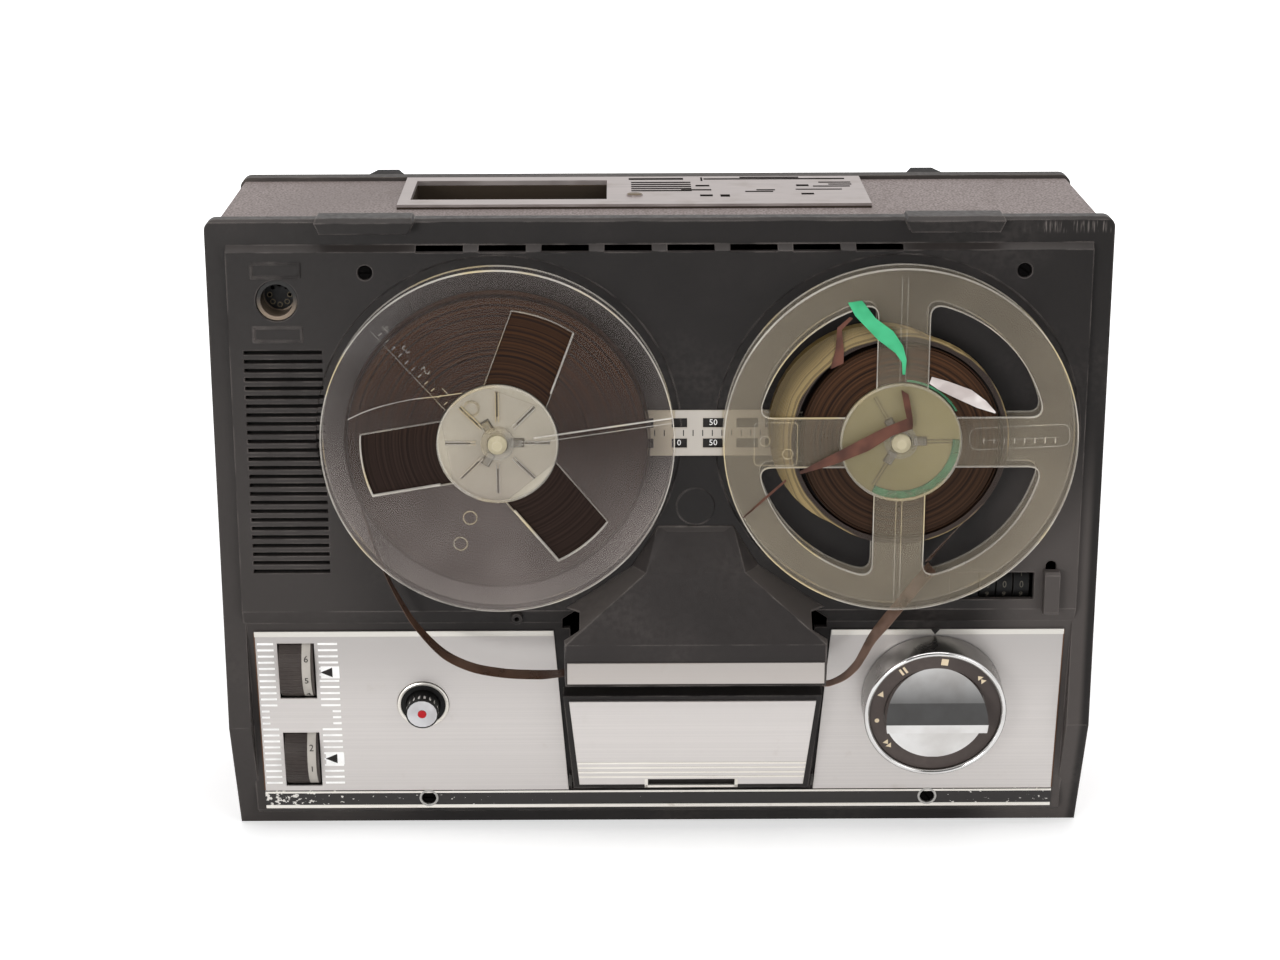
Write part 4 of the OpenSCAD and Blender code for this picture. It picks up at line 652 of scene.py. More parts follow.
piece("strip_lines", [bar(-PANEL_EDGE, PANEL_EDGE, b0, b1, 0, 0.15, strip_put)
                      for b0, b1 in ((-1.4, -0.45), (-9.1, -7.5))],
      bright_fold, "recorder")
ring_profile = [(3.2, -0.6), (4.2, -0.6), (4.2, 0.15), (3.9, 0.4), (3.4, 0.4), (3.2, 0.15)]
piece("strip_rings", [lathe(ring_profile, panel_put(x, STRIP_SCREW_Z), 40)
                      for x in (STRIP_SCREW_X, STRIP_SCREW_X + STRIP_SCREW_PITCH)],
      steel, "recorder")

# Thumbwheels: ribbed drums for tone and volume on their potentiometers' shafts.
# Each carries a white number ring beside the ribs.
wheel_plastic = moulded("wheel_plastic", (58, 51, 48), (108, 100, 94), pebble=900, rough=0.45)
ring_ink = ink("ring_ink", (180, 174, 166))
dress(wheel_plastic, "tone_wheel", "volume_wheel")
WHEEL_R, WHEEL_SINK, WHEEL_RIBS, NUMBER_TURN = 17.0, 12.5, 54, 33.75


def from_curve(made):
    """Points and faces of a flat curve that has a thickness; the holder is taken away again."""
    holder = bpy.data.objects.new(made.name, made)
    scene.collection.objects.link(holder)
    mesh = settled_mesh(holder)
    bpy.data.objects.remove(holder)
    return [v.co.copy() for v in mesh.vertices], [tuple(p.vertices) for p in mesh.polygons]


def words(text, size):
    """Figures as thin solids round their own middle: across, out, up."""
    made = bpy.data.curves.new("figures", "FONT")
    made.body, made.size, made.extrude, made.resolution_u = text, size, PRINT_THICK / 2, 2
    made.align_x, made.align_y = "CENTER", "CENTER"
    points, faces = from_curve(made)
    return [(p.x, p.z + PRINT_THICK / 2, p.y) for p in points], faces


def placed(shape, put):
    points, faces = shape
    return [put(*p) for p in points], faces


def drum_put(put, radius, sink, angle):
    """Wraps a figure round a drum whose axis lies a distance behind the surface."""
    turn = math.radians(angle)

    def wrapped(a, out, b):
        reach = radius + out
        return put(a, reach * math.cos(turn) - b * math.sin(turn) - sink,
                   reach * math.sin(turn) + b * math.cos(turn))
    return wrapped


def drum_ring(put, a0, a1, r0, r1, sink, steps=72):
    """A band round a drum that lies across the panel."""
    turns = [math.tau * i / steps for i in range(steps)]
    return loft([[(a, r * math.cos(t) - sink, r * math.sin(t))
                  for a, r in ((a0, r0), (a1, r0), (a1, r1), (a0, r1))] for t in turns], put)


for name, wheel_z, first in (("tone", TONE_Z, 5.24), ("volume", VOLUME_Z, 1.24)):
    put = panel_put(WHEEL_X, wheel_z)
    piece(name + "_number_ring", [drum_ring(put, 2.6, 6.3, WHEEL_R - 0.3, WHEEL_R + 0.06, WHEEL_SINK)],
          ring_ink, name)
    beside = panel_put(WHEEL_X + 4.45, wheel_z)
    figures = []
    for k in range(1, 10):
        turned_put = drum_put(beside, WHEEL_R + 0.06, WHEEL_SINK, (k - first) * NUMBER_TURN)
        figures.append(placed(words(str(k), 4.2), turned_put))
    piece(name + "_numbers", figures, print_ink, name)
    rib = [bar(-7.0, 2.3, -0.35, 0.35, WHEEL_R - 0.2, WHEEL_R + 0.08, leaning)]
    row(name + "_ribs", rib, WHEEL_RIBS, in_mm(put(0, -WHEEL_SINK, 0)),
        wheel_plastic, name, turn=(360 / WHEEL_RIBS, 0, 0))


# Record button: a black plunger with a fluted chrome cap and a red dot, in a pressed bezel.
# The bezel's bright lip surrounds a black sleeve.
def plated(name, grain, light, dark, hazed, rough):
    """Bright plated metal that is darker in patches, between the two ends of hazed; rough has the two
    ends and the two values of its roughness."""
    made, shader, at = new_finish(name, Metallic=1.0)
    haze = at.noise(grain, 3)
    at.join(shader["Base Color"], haze.ease(*hazed).blend(tone(*light), tone(*dark)))
    at.join(shader["Roughness"], haze.ease(*rough))
    return made


red = moulded("signal_red", (166, 18, 28), (200, 70, 66), rough=0.35)
cap_chrome = plated("cap_chrome", 90, (208, 207, 209), (184, 182, 184), (0.3, 0.7), (0.3, 0.7, 0.12, 0.12))
dress(socket_black, "record_bezel", "record_button")
dress(red, "record_dot")
button_put = panel_put(-102.1, 62.8)
lip = [(9.6, 0.5), (11.0, -0.2), (11.1, 0.7), (10.5, 1.0), (9.8, 0.85)]
piece("bezel_lip", [lathe(lip, button_put, 56)], bright_fold, "recorder")
crown = [(0, 8.1), (6.9, 4.4), (7.16, 4.4), (7.16, 7.4), (6.5, 8.58), (0, 8.58)]
piece("button_crown", [lathe(crown, button_put, 18)], cap_chrome, "record_button", 8)

# Function knob: a turned skirt, a dark legend ring and a chrome grip with a bar across it.
# Cream transport signs are printed round the legend ring.
legend = moulded("legend_grey", (74, 66, 63), (120, 110, 104), rough=0.5)
cream_ink = ink("cream_ink", (224, 206, 176))
chrome = plated("chrome_trim", 60, (226, 225, 224), (200, 197, 194), (0.3, 0.8), (0.5, 0.8, 0.07, 0.13))
skirt_metal = plated("skirt_metal", 50, (152, 149, 146), (132, 129, 126), (0.3, 0.7),
                     (0.3, 0.7, 0.24, 0.34))
dress(skirt_metal, "selector_skirt")
dress(legend, "selector_legend")
knob_put = panel_put(KNOB_X, KNOB_Z)
GRIP_R, GRIP_FOOT, GRIP_COLUMNS, GRIP_ROWS = 21.7, 12.5, 28, 60
CREASE, CREST, LAND_END = 7.6, -0.2, -4.2
EDGE_OUT, CREASE_OUT, LAND_OUT, LOWER_OUT = 12.9, 18.7, 23.5, 14.3
BULGE, FACET_SLOPE, DROP_SLOPE = 0.8, 0.62, 20


def grip_height(b):
    """How far the grip stands out at that height: a leaning upper half, a steeper thumb facet, its land
    and a flat lower half."""
    if b >= CREASE:
        t = (GRIP_R - b) / (GRIP_R - CREASE)
        return EDGE_OUT + (CREASE_OUT - EDGE_OUT - BULGE) * t + BULGE * t * t
    if b >= CREST:
        return CREASE_OUT + FACET_SLOPE * (CREASE - b)
    return max(LOWER_OUT, LAND_OUT - max(0, LAND_END - b) * DROP_SLOPE)


grip_rows = sorted([(GRIP_R - 0.1) * math.sin(math.pi * (i / GRIP_ROWS - 0.5))
                    for i in range(GRIP_ROWS + 1)]
                   + [CREASE, CREST, LAND_END, LAND_END - 0.1, LAND_END - 0.46])
grip_points, grip_faces = [], []
for b in grip_rows:
    half = math.sqrt(max(GRIP_R ** 2 - b ** 2, 0.01))
    for j in range(GRIP_COLUMNS + 1):
        a = half * math.sin(math.pi * (j / GRIP_COLUMNS - 0.5))
        grip_points.append((a, grip_height(b), b))
wide = GRIP_COLUMNS + 1
top_count = len(grip_points)
grip_points += [(a, GRIP_FOOT, b) for a, _, b in grip_points]
for i in range(len(grip_rows) - 1):
    for j in range(GRIP_COLUMNS):
        quad = (i * wide + j, i * wide + j + 1, (i + 1) * wide + j + 1, (i + 1) * wide + j)
        grip_faces += [quad, tuple(top_count + k for k in reversed(quad))]
    for j in (0, GRIP_COLUMNS):
        low, high = i * wide + j, (i + 1) * wide + j
        grip_faces.append((low, high, high + top_count, low + top_count))
for i in (0, len(grip_rows) - 1):
    for j in range(GRIP_COLUMNS):
        low, high = i * wide + j, i * wide + j + 1
        grip_faces.append((low, high, high + top_count, low + top_count))
grip = piece("grip", [placed((grip_points, grip_faces), knob_put)], chrome, "selector", 28)
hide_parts("selector_grip")
bead = [(28.35, 14.3), (28.6, 14.9), (29.0, 15.2), (29.4, 15.3), (29.8, 15.2), (30.2, 14.9), (30.45, 14.3)]
piece("knob_bead", [lathe(bead, knob_put, 96)], chrome, "selector", 50)


def spoke_put(put, angle):
    """Turns what is placed round a point by an angle, in degrees from right to top."""
    c, s = polar(1, angle)
    return lambda a, d, b: put(a * c - b * s, d, a * s + b * c)


LEGEND_MIDDLE = 25


def sign_put(angle):
    """Stands a sign on the legend ring at an angle counted clockwise from the top."""
    upright_put = spoke_put(knob_put, -angle)
    return lambda a, out, b: upright_put(a, out, LEGEND_MIDDLE + b)


def arrow(a, way):
    return [(a, 0), (a - 1.9 * way, 1.4), (a - 1.9 * way, -1.4)]


SIGN_NEAR, SIGN_FAR = 13.3, 13.42
signs = [bar(-1.5, 1.5, -1.5, 1.5, SIGN_NEAR, SIGN_FAR, sign_put(7))]
signs += [bar(a - 0.5, a + 0.5, -1.6, 1.6, SIGN_NEAR, SIGN_FAR, sign_put(-35)) for a in (-0.95, 0.95)]
signs += [plate(arrow(1.4, 1.4), SIGN_NEAR, SIGN_FAR, sign_put(-68))]
signs += [lathe([(0, SIGN_NEAR), (1.0, SIGN_NEAR), (1.0, SIGN_FAR), (0, SIGN_FAR)], sign_put(-99), 20)]
signs += [plate(arrow(a, -1), SIGN_NEAR, SIGN_FAR, sign_put(angle))
          for angle in (-129, 49) for a in (-2.1, 0.1)]
piece("knob_signs", signs, cream_ink, "selector")

# Tape counter: three number wheels on an axle behind a window, and a sliding reset key.
# The figures are printed round each wheel.
counter_black = moulded("counter_black", (16, 15, 15), (56, 53, 50), rough=0.5)
# Grey rather than white: the dimmed figures stand in for the shade inside the counter's window.
figure_ink = ink("figure_ink", (84, 80, 72))
dress(counter_black, "counter_housing")
dress(deck_plastic, "reset_key")
COUNTER_Z, COUNTER_AXIS, COUNTER_R, FIGURE_NARROW = 119.3, 6.0, 8.0, 0.85


def counter_put(wheel_x):
    """Places a narrowed figure before a counter wheel: across, out, up."""
    return lambda a, out, b: spot(wheel_x + a * FIGURE_NARROW, -out, COUNTER_Z + b)


for name, wheel_x in (("units", 153.85), ("tens", 146.7), ("hundreds", 139.55)):
    dress(counter_black, "counter_wheel_" + name)
    front = counter_put(wheel_x)
    figures = [placed(words(str(k), 4.4), drum_put(front, COUNTER_R, COUNTER_AXIS, 36 * k))
               for k in range(10)]
    piece("counter_figures_" + name, figures, figure_ink, "counter_" + name)

# Tape scale: a printed sheet between the reels, with two rows of windows.
# Ticks and blocks run under the reels' edges on both sides.
# Under the reels' flanges the scale carries a painted shade.
scale_metal = brushed("scale_metal", (216, 208, 198), along=(500, 500, 6), metal=0.5,
                      open_span=(0.0065, 0.026))
dress(scale_metal, "scale_plate")
SCALE_Z, SCALE_FACE, SCALE_ROW = 187.5, -4, 4.4
scale_put = deck_put(0, SCALE_Z)
blocks = [bar(x - w / 2, x + w / 2, z - 2, z + 2, SCALE_FACE - 0.06, SCALE_FACE, scale_put)
          for x, w in ((-6, 7), (36.5, 9), (48.5, 9)) for z in (-SCALE_ROW, SCALE_ROW)]
piece("scale_blocks", blocks, print_ink, "recorder")
tick = [bar(-0.2, 0.2, -1.3, 1.3, 0, PRINT_THICK, local)]
row("scale_ticks", tick, 17, (-10, SCALE_FACE - PRINT_THICK, SCALE_Z), print_ink, "recorder",
    step=(4.0, 0, 0))
cut_figures = [placed(words(text, 3.6), lambda a, o, b, x=x, z=z: scale_put(x + a, -3.55 - o, z + b))
               for text, x, z in (("0", 8.2, -SCALE_ROW), ("50", 22.4, -SCALE_ROW),
                                  ("50", 22.4, SCALE_ROW))]
piece("scale_figures", cut_figures, white_ink, "recorder")

# Head cover: a moulded hood over the heads with a bare bright strip along its front edge.
# It clips onto the head plate, and its edges are rubbed pale.
# Its faces that look up are painted paler, as if lit from above.
cover_plastic = moulded("cover_plastic", (45, 41, 40), (122, 115, 110), rough=0.42, edge=0.001, edge_wear_and_gleam=0.75,
                        dust=0.12, lit_from_above=0.3)
name_metal = brushed("name_strip", (199, 192, 187), rough=0.32)
dress(cover_plastic, "head_cover")
dress(name_metal, "nameplate")

# Flap: a hinged frame with a brushed plate, below the tape slot.
# Four pressed lines run across the plate, and a bright edge frames the finger notch in its foot.
flap_plastic = moulded("flap_plastic", (34, 31, 30), (108, 102, 98), rough=0.45, edge=0.001, edge_wear_and_gleam=0.6,
                       dust=0.1)
dress(flap_plastic, "flap_frame")
flap_metal = brushed("flap_metal", (216, 211, 208))
dress(flap_metal, "flap_plate")
FLAP_LEAN = math.radians(17.49)
FLAP_X, FLAP_DEPTH, FLAP_FOOT = 14.3, 7.6, 22


def flap_put(a, out, b):
    """Places a shape on the flap: across from its middle, out, and up from its foot."""
    return spot(FLAP_X + a, FLAP_DEPTH - b * math.sin(FLAP_LEAN) - out * math.cos(FLAP_LEAN),
                FLAP_FOOT + b * math.cos(FLAP_LEAN) - out * math.sin(FLAP_LEAN))


PLATE_OUT, PLATE_HALF, PLATE_FLARE, NOTCH_HALF, NOTCH_EDGE = 0.7, 48.6, 0.077, 19.7, 0.7
flap_lines = []
for b in (7, 9.6, 12.2, 14.8):
    half = PLATE_HALF + b * PLATE_FLARE
    flap_lines.append(bar(-half, half, b - 0.5, b + 0.5, PLATE_OUT - 0.1, PLATE_OUT + 0.12, flap_put))
for a, half, high in ((0, NOTCH_HALF + NOTCH_EDGE, 2.1), (-NOTCH_HALF, NOTCH_EDGE, 5.6),
                      (NOTCH_HALF, NOTCH_EDGE, 5.6)):
    flap_lines.append(bar(a - half, a + half, 0.9, high, 0.05, PLATE_OUT + 0.1, flap_put))
piece("flap_lines", flap_lines, bright_fold, "flap")


# Reels: two clear moulded spools of different pattern on their turntables.
# The rims, window edges and hubs catch the light, and the flanges stay see-through.
def clear(name, shade, top, foot, high, rough=0.1, span=(0.25, 0.125), gilt=None):
    """Clear plastic: hazier towards its foot at rest, and denser where its edges turn away.
    With gilt, a second colour, it catches the light in patches."""
    made, shader, at = new_finish(name, Specular_IOR_Level=0.35)
    cloud = at.noise(22, 4)
    facing = at.node("ShaderNodeLayerWeight", (), {"Blend": 0.3}, "Facing")
    scuff = at.scaled(40, 40, 40).noise(3, 6).ease(0.62, 0.8) * 0.02
    veil = at.axis(2).ease(*span, top, foot) * cloud.ease(0.25, 0.75, 0.8, 1.2)
    base = cloud.ease(0.3, 0.7).blend(tone(*shade, 0.94), tone(*shade))
    if gilt:
        patch = at.noise(36, 1)
        veil = veil * patch.ease(0.3, 0.7, 0.45, 1.3)
        base = patch.ease(0.5, 0.66).blend(base, tone(*gilt))
    at.join(shader["Base Color"], base)
    at.join(shader["Alpha"], veil + scuff + facing.ease(0.35, 0.95, 0, high))
    at.join(shader["Roughness"], cloud.ease(0.3, 0.8, rough, rough + 0.12))
    return made


reel_clear = clear("reel_clear", (156, 145, 140), 0.042, 0.21, 0.7, span=(0.2, 0.135))
reel_tinted = clear("reel_clear_b", (164, 152, 132), 0.12, 0.18, 0.7)
reel_edge = clear("reel_edge", (240, 234, 224), 0.42, 0.5, 0.8, gilt=(232, 214, 172))
reel_line = clear("reel_line", (232, 226, 214), 0.17, 0.23, 0.8, gilt=(226, 208, 168))
hub_milky = moulded("hub_milky", (174, 166, 150), (206, 198, 182), pebble=500, rough=0.3, dust=0.3)
hub_shade = moulded("hub_shade", (92, 86, 74), (120, 112, 98), pebble=500, rough=0.4)
hub_olive = moulded("hub_olive", (144, 134, 94), (174, 164, 126), pebble=500, rough=0.3, dust=0.3)
warm_steel = moulded("warm_steel", (186, 176, 148), (220, 212, 190), pebble=600, rough=0.3)
dress(warm_steel, "supply_turntable", "takeup_turntable")
SUPPLY_X, TAKEUP_X, SPINDLE_Z = -66.9, 99.1, 187
supply_put, takeup_put = deck_put(SUPPLY_X, SPINDLE_Z), deck_put(TAKEUP_X, SPINDLE_Z)
REEL_R, REEL_FACE, REEL_OUTER, REEL_INNER, REEL_BACK = 73.0, -18.2, -16.7, -9.2, -7.7


def circle(r, steps=128):
    return [polar(r, 360 * i / steps) for i in range(steps)]


def cutout(outlines, near, far, bevel, put):
    """A flat moulding with holes and softly rounded edges: the first outline is its rim."""
    made = bpy.data.curves.new("cutout", "CURVE")
    made.dimensions, made.fill_mode = "2D", "BOTH"
    made.extrude = (far - near) / 2 - bevel
    made.bevel_depth, made.bevel_resolution, made.offset = bevel, 1, -bevel
    for outline in outlines:
        spline = made.splines.new("POLY")
        spline.points.add(len(outline) - 1)
        for point, (a, b) in zip(spline.points, outline):
            point.co = (a, b, 0, 1)
        spline.use_cyclic_u = True
    points, faces = from_curve(made)
    return [put(p.x, (near + far) / 2 - p.z, p.y) for p in points], faces


def turned(outline, angle):
    c, s = polar(1, angle)
    return [(a * c - b * s, a * s + b * c) for a, b in outline]


def bend(start, corner, end, steps=6):
    """A short curve from start to end that rounds the corner between them."""
    p, here, q = Vector(start), Vector(corner), Vector(end)
    shares = [k / steps for k in range(steps + 1)]
    return [tuple((1 - t) ** 2 * p + 2 * t * (1 - t) * here + t * t * q) for t in shares]


def rounded_corners(corners, radius):
    """A closed outline whose corners are rounded by short curves."""
    outline = []
    for i, corner in enumerate(corners):
        here = Vector(corner)
        back, on = Vector(corners[i - 1]) - here, Vector(corners[(i + 1) % len(corners)]) - here
        outline += bend(here + back.normalized() * radius, here, here + on.normalized() * radius)
    return outline


SUPPLY_WINDOWS, SLOT_ANGLE = (69.5, 189.5, 309.5), 8.3
supply_windows = [turned([(21, -13.5)] + arc(56.6, -13.8, 13.8, 8) + [(21, 13.5)], angle)
                  for angle in SUPPLY_WINDOWS]
slot_window = turned([(30, -0.45), (71.4, -0.45), (71.4, 0.45), (30, 0.45)], SLOT_ANGLE)
spindle_hole = circle(4.15, 40)


def flanges(front_holes, back_holes, bevel, put):
    """The two flanges of a reel: thin discs with their holes."""
    sides = ((front_holes, REEL_FACE, REEL_OUTER), (back_holes, REEL_INNER, REEL_BACK))
    return [cutout([circle(REEL_R), spindle_hole] + holes, near, far, bevel, put)
            for holes, near, far in sides]


supply_reel = piece("supply_reel_flanges",
                    flanges([slot_window] + supply_windows, supply_windows, 0.25, supply_put),
                    reel_clear, "supply")
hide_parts("supply_reel")

SPOKE_HALF, WINDOW_OUT, WINDOW_IN = 10.5, 59.6, 25.2
edge_angle = math.degrees(math.asin(SPOKE_HALF / WINDOW_OUT))
near_angle = math.degrees(math.asin(SPOKE_HALF / WINDOW_IN))
inner_arc = arc(WINDOW_IN, 90 - near_angle, near_angle, 6)


def soft_window(radius):
    """A quarter window whose two outer corners are well rounded and whose inner ones are tight."""
    low, high = polar(WINDOW_OUT, edge_angle), polar(WINDOW_OUT, 90 - edge_angle)
    curve = bend((low[0] - radius, low[1]), low, polar(WINDOW_OUT, edge_angle + 6))
    curve += arc(WINDOW_OUT, edge_angle + 9, 81 - edge_angle, 12)
    curve += bend(polar(WINDOW_OUT, 84 - edge_angle), high, (high[0], high[1] - radius))
    return curve + inner_arc


quarter = soft_window(6)
takeup_windows = [turned(quarter, angle) for angle in (0, 90, 180, 270)]
takeup_reel = piece("takeup_reel_flanges", flanges(takeup_windows, takeup_windows, 0.3, takeup_put),
                    reel_tinted, "takeup")
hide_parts("takeup_reel")


def ring(r0, r1, near, far, put, steps=128):
    return lathe([(r0, near), (r1, near), (r1, far), (r0, far)], put, steps)


def edging(outline, width, near, far, put):
    """A bright line along an outline, inside its edge."""
    count = len(outline)
    centre = sum((Vector(p) for p in outline), Vector((0, 0))) / count
    rings = []
    for i, (a, b) in enumerate(outline):
        before, after = Vector(outline[i - 1]), Vector(outline[(i + 1) % count])
        along = (after - before).normalized()
        inward = Vector((-along.y, along.x))
        if inward.dot(centre - Vector((a, b))) < 0:
            inward = -inward
        c, d = a + inward.x * width, b + inward.y * width
        rings.append([(a, near, b), (c, near, d), (c, far, d), (a, far, b)])
    return loft(rings, put)


def ribbon(path, near, far, thick, put, lean=0.0):
    """A strip on edge along a path of points across and up. Its depths, thickness and the lean of
    its front edge are numbers, or lists with one number for each point."""
    near, far, thick, lean = ([v] * len(path) if isinstance(v, float) else v
                              for v in (near, far, thick, lean))
    rings = []
    for i, p in enumerate(path):
        along = (Vector(path[min(i + 1, len(path) - 1)]) - Vector(path[max(i - 1, 0)])).normalized()
        across, p = Vector((-along.y, along.x)), Vector(p)
        front, half = p + across * lean[i], across * thick[i] / 2
        corners = ((front + half, near[i]), (p + half, far[i]), (p - half, far[i]), (front - half, near[i]))
        rings.append([(q.x, depth, q.y) for q, depth in corners])
    return loft(rings, put, False)


for body, put, windows in (("supply", supply_put, supply_windows), ("takeup", takeup_put, takeup_windows)):
    rims = [ring(72.62, 73.05, REEL_FACE - 0.12, REEL_OUTER + 0.1, put)]
    thin = [ring(72.7, 73.05, REEL_INNER, REEL_BACK, put)]
    fronts, backs = [], []
    for outline in windows:
        open_edge = outline if body == "supply" else [outline[-1]] + outline[:-len(inner_arc) + 1]
        fronts.append(ribbon(open_edge, REEL_FACE - 0.08, REEL_OUTER, 0.32, put))
        backs.append(ribbon(open_edge, REEL_INNER, REEL_BACK, 0.3, put))
    if body == "supply":
        thin += fronts
        # Painted highlights: bright strips on the window sides that catch the light, and on the far ends of
        # the lower two.
        for angle, first, side_b in zip(SUPPLY_WINDOWS, (28, 26.4, 26.4), (-13.2, 13.15, -13.15)):
            rims.append(bar(first, 55, side_b - 0.3, side_b + 0.3, REEL_FACE - 0.1, REEL_OUTER,
                            spoke_put(put, angle)))
            if angle > 180:
                lit_end = turned(arc(56.4, -13.4, 13.4, 10), angle)
                rims.append(ribbon(lit_end, REEL_FACE - 0.1, REEL_OUTER, 0.5, put))
    else:
        rims += fronts
        thin += backs
    piece(body + "_reel_edges", rims, reel_edge, body)
    piece(body + "_reel_lines", thin, reel_line, body)

HUB_BORE, HUB_R, HUB_FACE, HUB_BACK = 4.3, 24.9, -15.4, -9.4
hub_profile = [(HUB_BORE, HUB_FACE), (22.2, HUB_FACE), (HUB_R, -16.4),
               (HUB_R, HUB_BACK), (HUB_BORE, HUB_BACK)]
piece("supply_hub", [lathe(hub_profile, supply_put, 72)], hub_milky, "supply")
piece("takeup_hub", [lathe(hub_profile, takeup_put, 72)], hub_olive, "takeup")
collar = [(HUB_BORE, -18.6), (6.4, -18.6), (6.9, -18.2), (6.9, HUB_FACE), (HUB_BORE, HUB_FACE)]
lug = [bar(5.5, 10.2, -1.3, 1.3, -17.6, HUB_FACE, local)]
lug_shade = [bar(5.5, 10.9, -1.9, 1.9, -15.9, -15.3, local)]
rib = [bar(9, 21.6, b - 0.17, b + 0.17, -16.6, HUB_FACE, local) for b in (-0.6, 0.6)]
rib_shade = [bar(11.2, 21.6, -0.4, 0.4, -15.7, -15.3, local)]
for body, x0, put, finish, shaded, count in (("supply", SUPPLY_X, supply_put, reel_edge, hub_shade, 8),
                                             ("takeup", TAKEUP_X, takeup_put, reel_tinted, hub_olive, 3)):
    piece(body + "_hub_rings", [lathe(collar, put, 40), ring(24.2, 25.1, -18.4, -17.2, put, 72)],
          reel_line, body)
    for name, unit, number, look in (
            ("lugs", lug, 3, reel_line), ("lug_shades", lug_shade, 3, hub_shade),
            ("ribs", rib, count, finish), ("rib_shades", rib_shade, count, shaded)):
        row(body + "_hub_" + name, unit, number, (x0, 0, SPINDLE_Z), look, body,
            turn=(0, -360 / number, 0))

RULER_ANGLE, MARK_NEAR = 131.5, REEL_FACE - 0.1
ruler = spoke_put(supply_put, RULER_ANGLE)
ruled = [bar(25, 69.5, 5.85, 6.15, MARK_NEAR, REEL_FACE, ruler)]
for k in (1, 2, 3, 4):
    ruled.append(placed(words(str(k), 5.4),
                        lambda a, o, b: ruler(19.2 + 11.8 * k - b, REEL_FACE - o, a + 0.6)))
slot_put = spoke_put(supply_put, SLOT_ANGLE)
slot_lines = [bar(15, 72.6, b - w, b + w, REEL_FACE - 0.12, REEL_FACE, slot_put)
              for b, w in ((0.5, 0.34), (-1.6, 0.12))]
piece("supply_slot_lines", slot_lines, reel_edge, "supply")
piece("supply_reel_marks", ruled, reel_line, "supply")
faint = [ring(2.6, 3.0, MARK_NEAR, REEL_FACE, deck_put(SUPPLY_X + x, SPINDLE_Z + z), 32)
         for x, z in ((-11.8, -31.6), (-16, -42.9))]
faint += [ring(2.7, 3.4, -16.9, HUB_FACE, deck_put(SUPPLY_X - 10.5, SPINDLE_Z + 14.7), 28)]
piece("supply_reel_rings", faint, reel_line, "supply")
(start_x, start_z), (step_x, step_z) = turned([(27, 3.9), (3.9, 0)], RULER_ANGLE)
tick = [bar(-0.15, 0.15, -0.9, 0.9, -0.1, 0, spoke_put(local, RULER_ANGLE))]
row("supply_reel_ticks", tick, 11, (SUPPLY_X + start_x, REEL_FACE, SPINDLE_Z + start_z), reel_edge,
    "supply", step=(step_x, 0, step_z))


def smooth_path(points, steps):
    """A curve through the points, with several steps between each two."""
    path = []
    for i in range(len(points) - 1):
        a, b, c, d = (Vector(points[min(max(i + k, 0), len(points) - 1)]) for k in (-1, 0, 1, 2))
        for k in range(steps):
            t = k / steps
            path.append(tuple(0.5 * (2 * b + (c - a) * t + (2 * a - 5 * b + 4 * c - d) * t * t
                                     + (3 * b - a - 3 * c + d) * t ** 3)))
    return path + [points[-1]]


SWIRL = [(-61.3, 10.8), (-54.6, 14), (-46.2, 16.8), (-35, 19.3), (-23.8, 20.6), (-14, 22)]
piece("supply_swirl", [ribbon(smooth_path(SWIRL, 5), MARK_NEAR, REEL_FACE, 0.35, supply_put)],
      reel_edge, "supply")

SEAM_NEAR = REEL_FACE - 0.12
seams = [bar(x - 0.17, x + 0.17, z0, z1, SEAM_NEAR, REEL_FACE, takeup_put)
         for x in (-1.3, 1.1) for z0, z1 in ((25, 69.8), (-69.8, -25))]
right_spoke = spoke_put(takeup_put, 2.5)
slot_outline = rounded_corners([(28, -4.6), (69.5, -4.6), (69.5, 5), (28, 5)], 4)
seams += [edging(slot_outline, 0.35, SEAM_NEAR, REEL_FACE, right_spoke)]
seams += [bar(33, 65, -0.75, -0.5, SEAM_NEAR, REEL_FACE, right_spoke)]
block = rounded_corners([(-60.5, -9.5), (-42.5, -9.5), (-42.5, 9), (-60.5, 9)], 2)
seams += [edging(block, 0.3, SEAM_NEAR, REEL_FACE, takeup_put)]
seams += [ring(1.9, 2.3, SEAM_NEAR, REEL_FACE, deck_put(TAKEUP_X + x, SPINDLE_Z + z), 28)
          for x, z in ((-46.5, -4.6), (-56, 1))]
piece("takeup_reel_marks", seams, reel_line, "takeup")
tick = [bar(-0.15, 0.15, 0, 2.2, -0.1, 0, local)]
row("takeup_reel_ticks", tick, 8, (TAKEUP_X + 34, REEL_FACE, SPINDLE_Z - 0.4), reel_edge, "takeup",
    step=(4.2, 0, 0))


# Tape: thin brown ribbon wound on both reels and led past the heads.
# The take-up reel also holds loose gold turns, and their tail hangs down from them.
def from_spindle(at, x0):
    """The way from a spindle's axis to each point, and its length."""
    away = at.node("ShaderNodeVectorMath", {"operation": "SUBTRACT"}, {
        0: at.scaled(1, 0, 1), 1: (x0 * 0.001, 0, SPINDLE_Z * 0.001)})
    return away, away.length()


def wound(name, x0, dark, dim, light, scale):
    """Tape seen edge on: fine rings of uneven turns round the spindle, with a painted sheen that makes the
    pack lighter above the spindle and dimmer below it.
    """
    made, shader, at = new_finish(name, Specular_IOR_Level=0.08)
    away, radius = from_spindle(at, x0)
    bands = radius.bands(scale, 5.0)
    fine = radius.bands(scale * 9, 2.0)
    shine = at.noise(40, 3)
    # Painted sheen: the pack turns from the dim colour below the spindle to the light one above it.
    lit = (away.axis(2) * 18).ease(-0.1, 0.7).blend(tone(*dim), tone(*light))
    at.join(shader["Base Color"], (bands * 0.75 + fine * 0.25).ease(0.35, 0.66).blend(tone(*dark), lit))
    at.join(shader["Roughness"], shine.ease(0.3, 0.7, 0.32, 0.5))
    at.join(shader["Normal"], bands.bump(0.00005, 0.3))
    return made


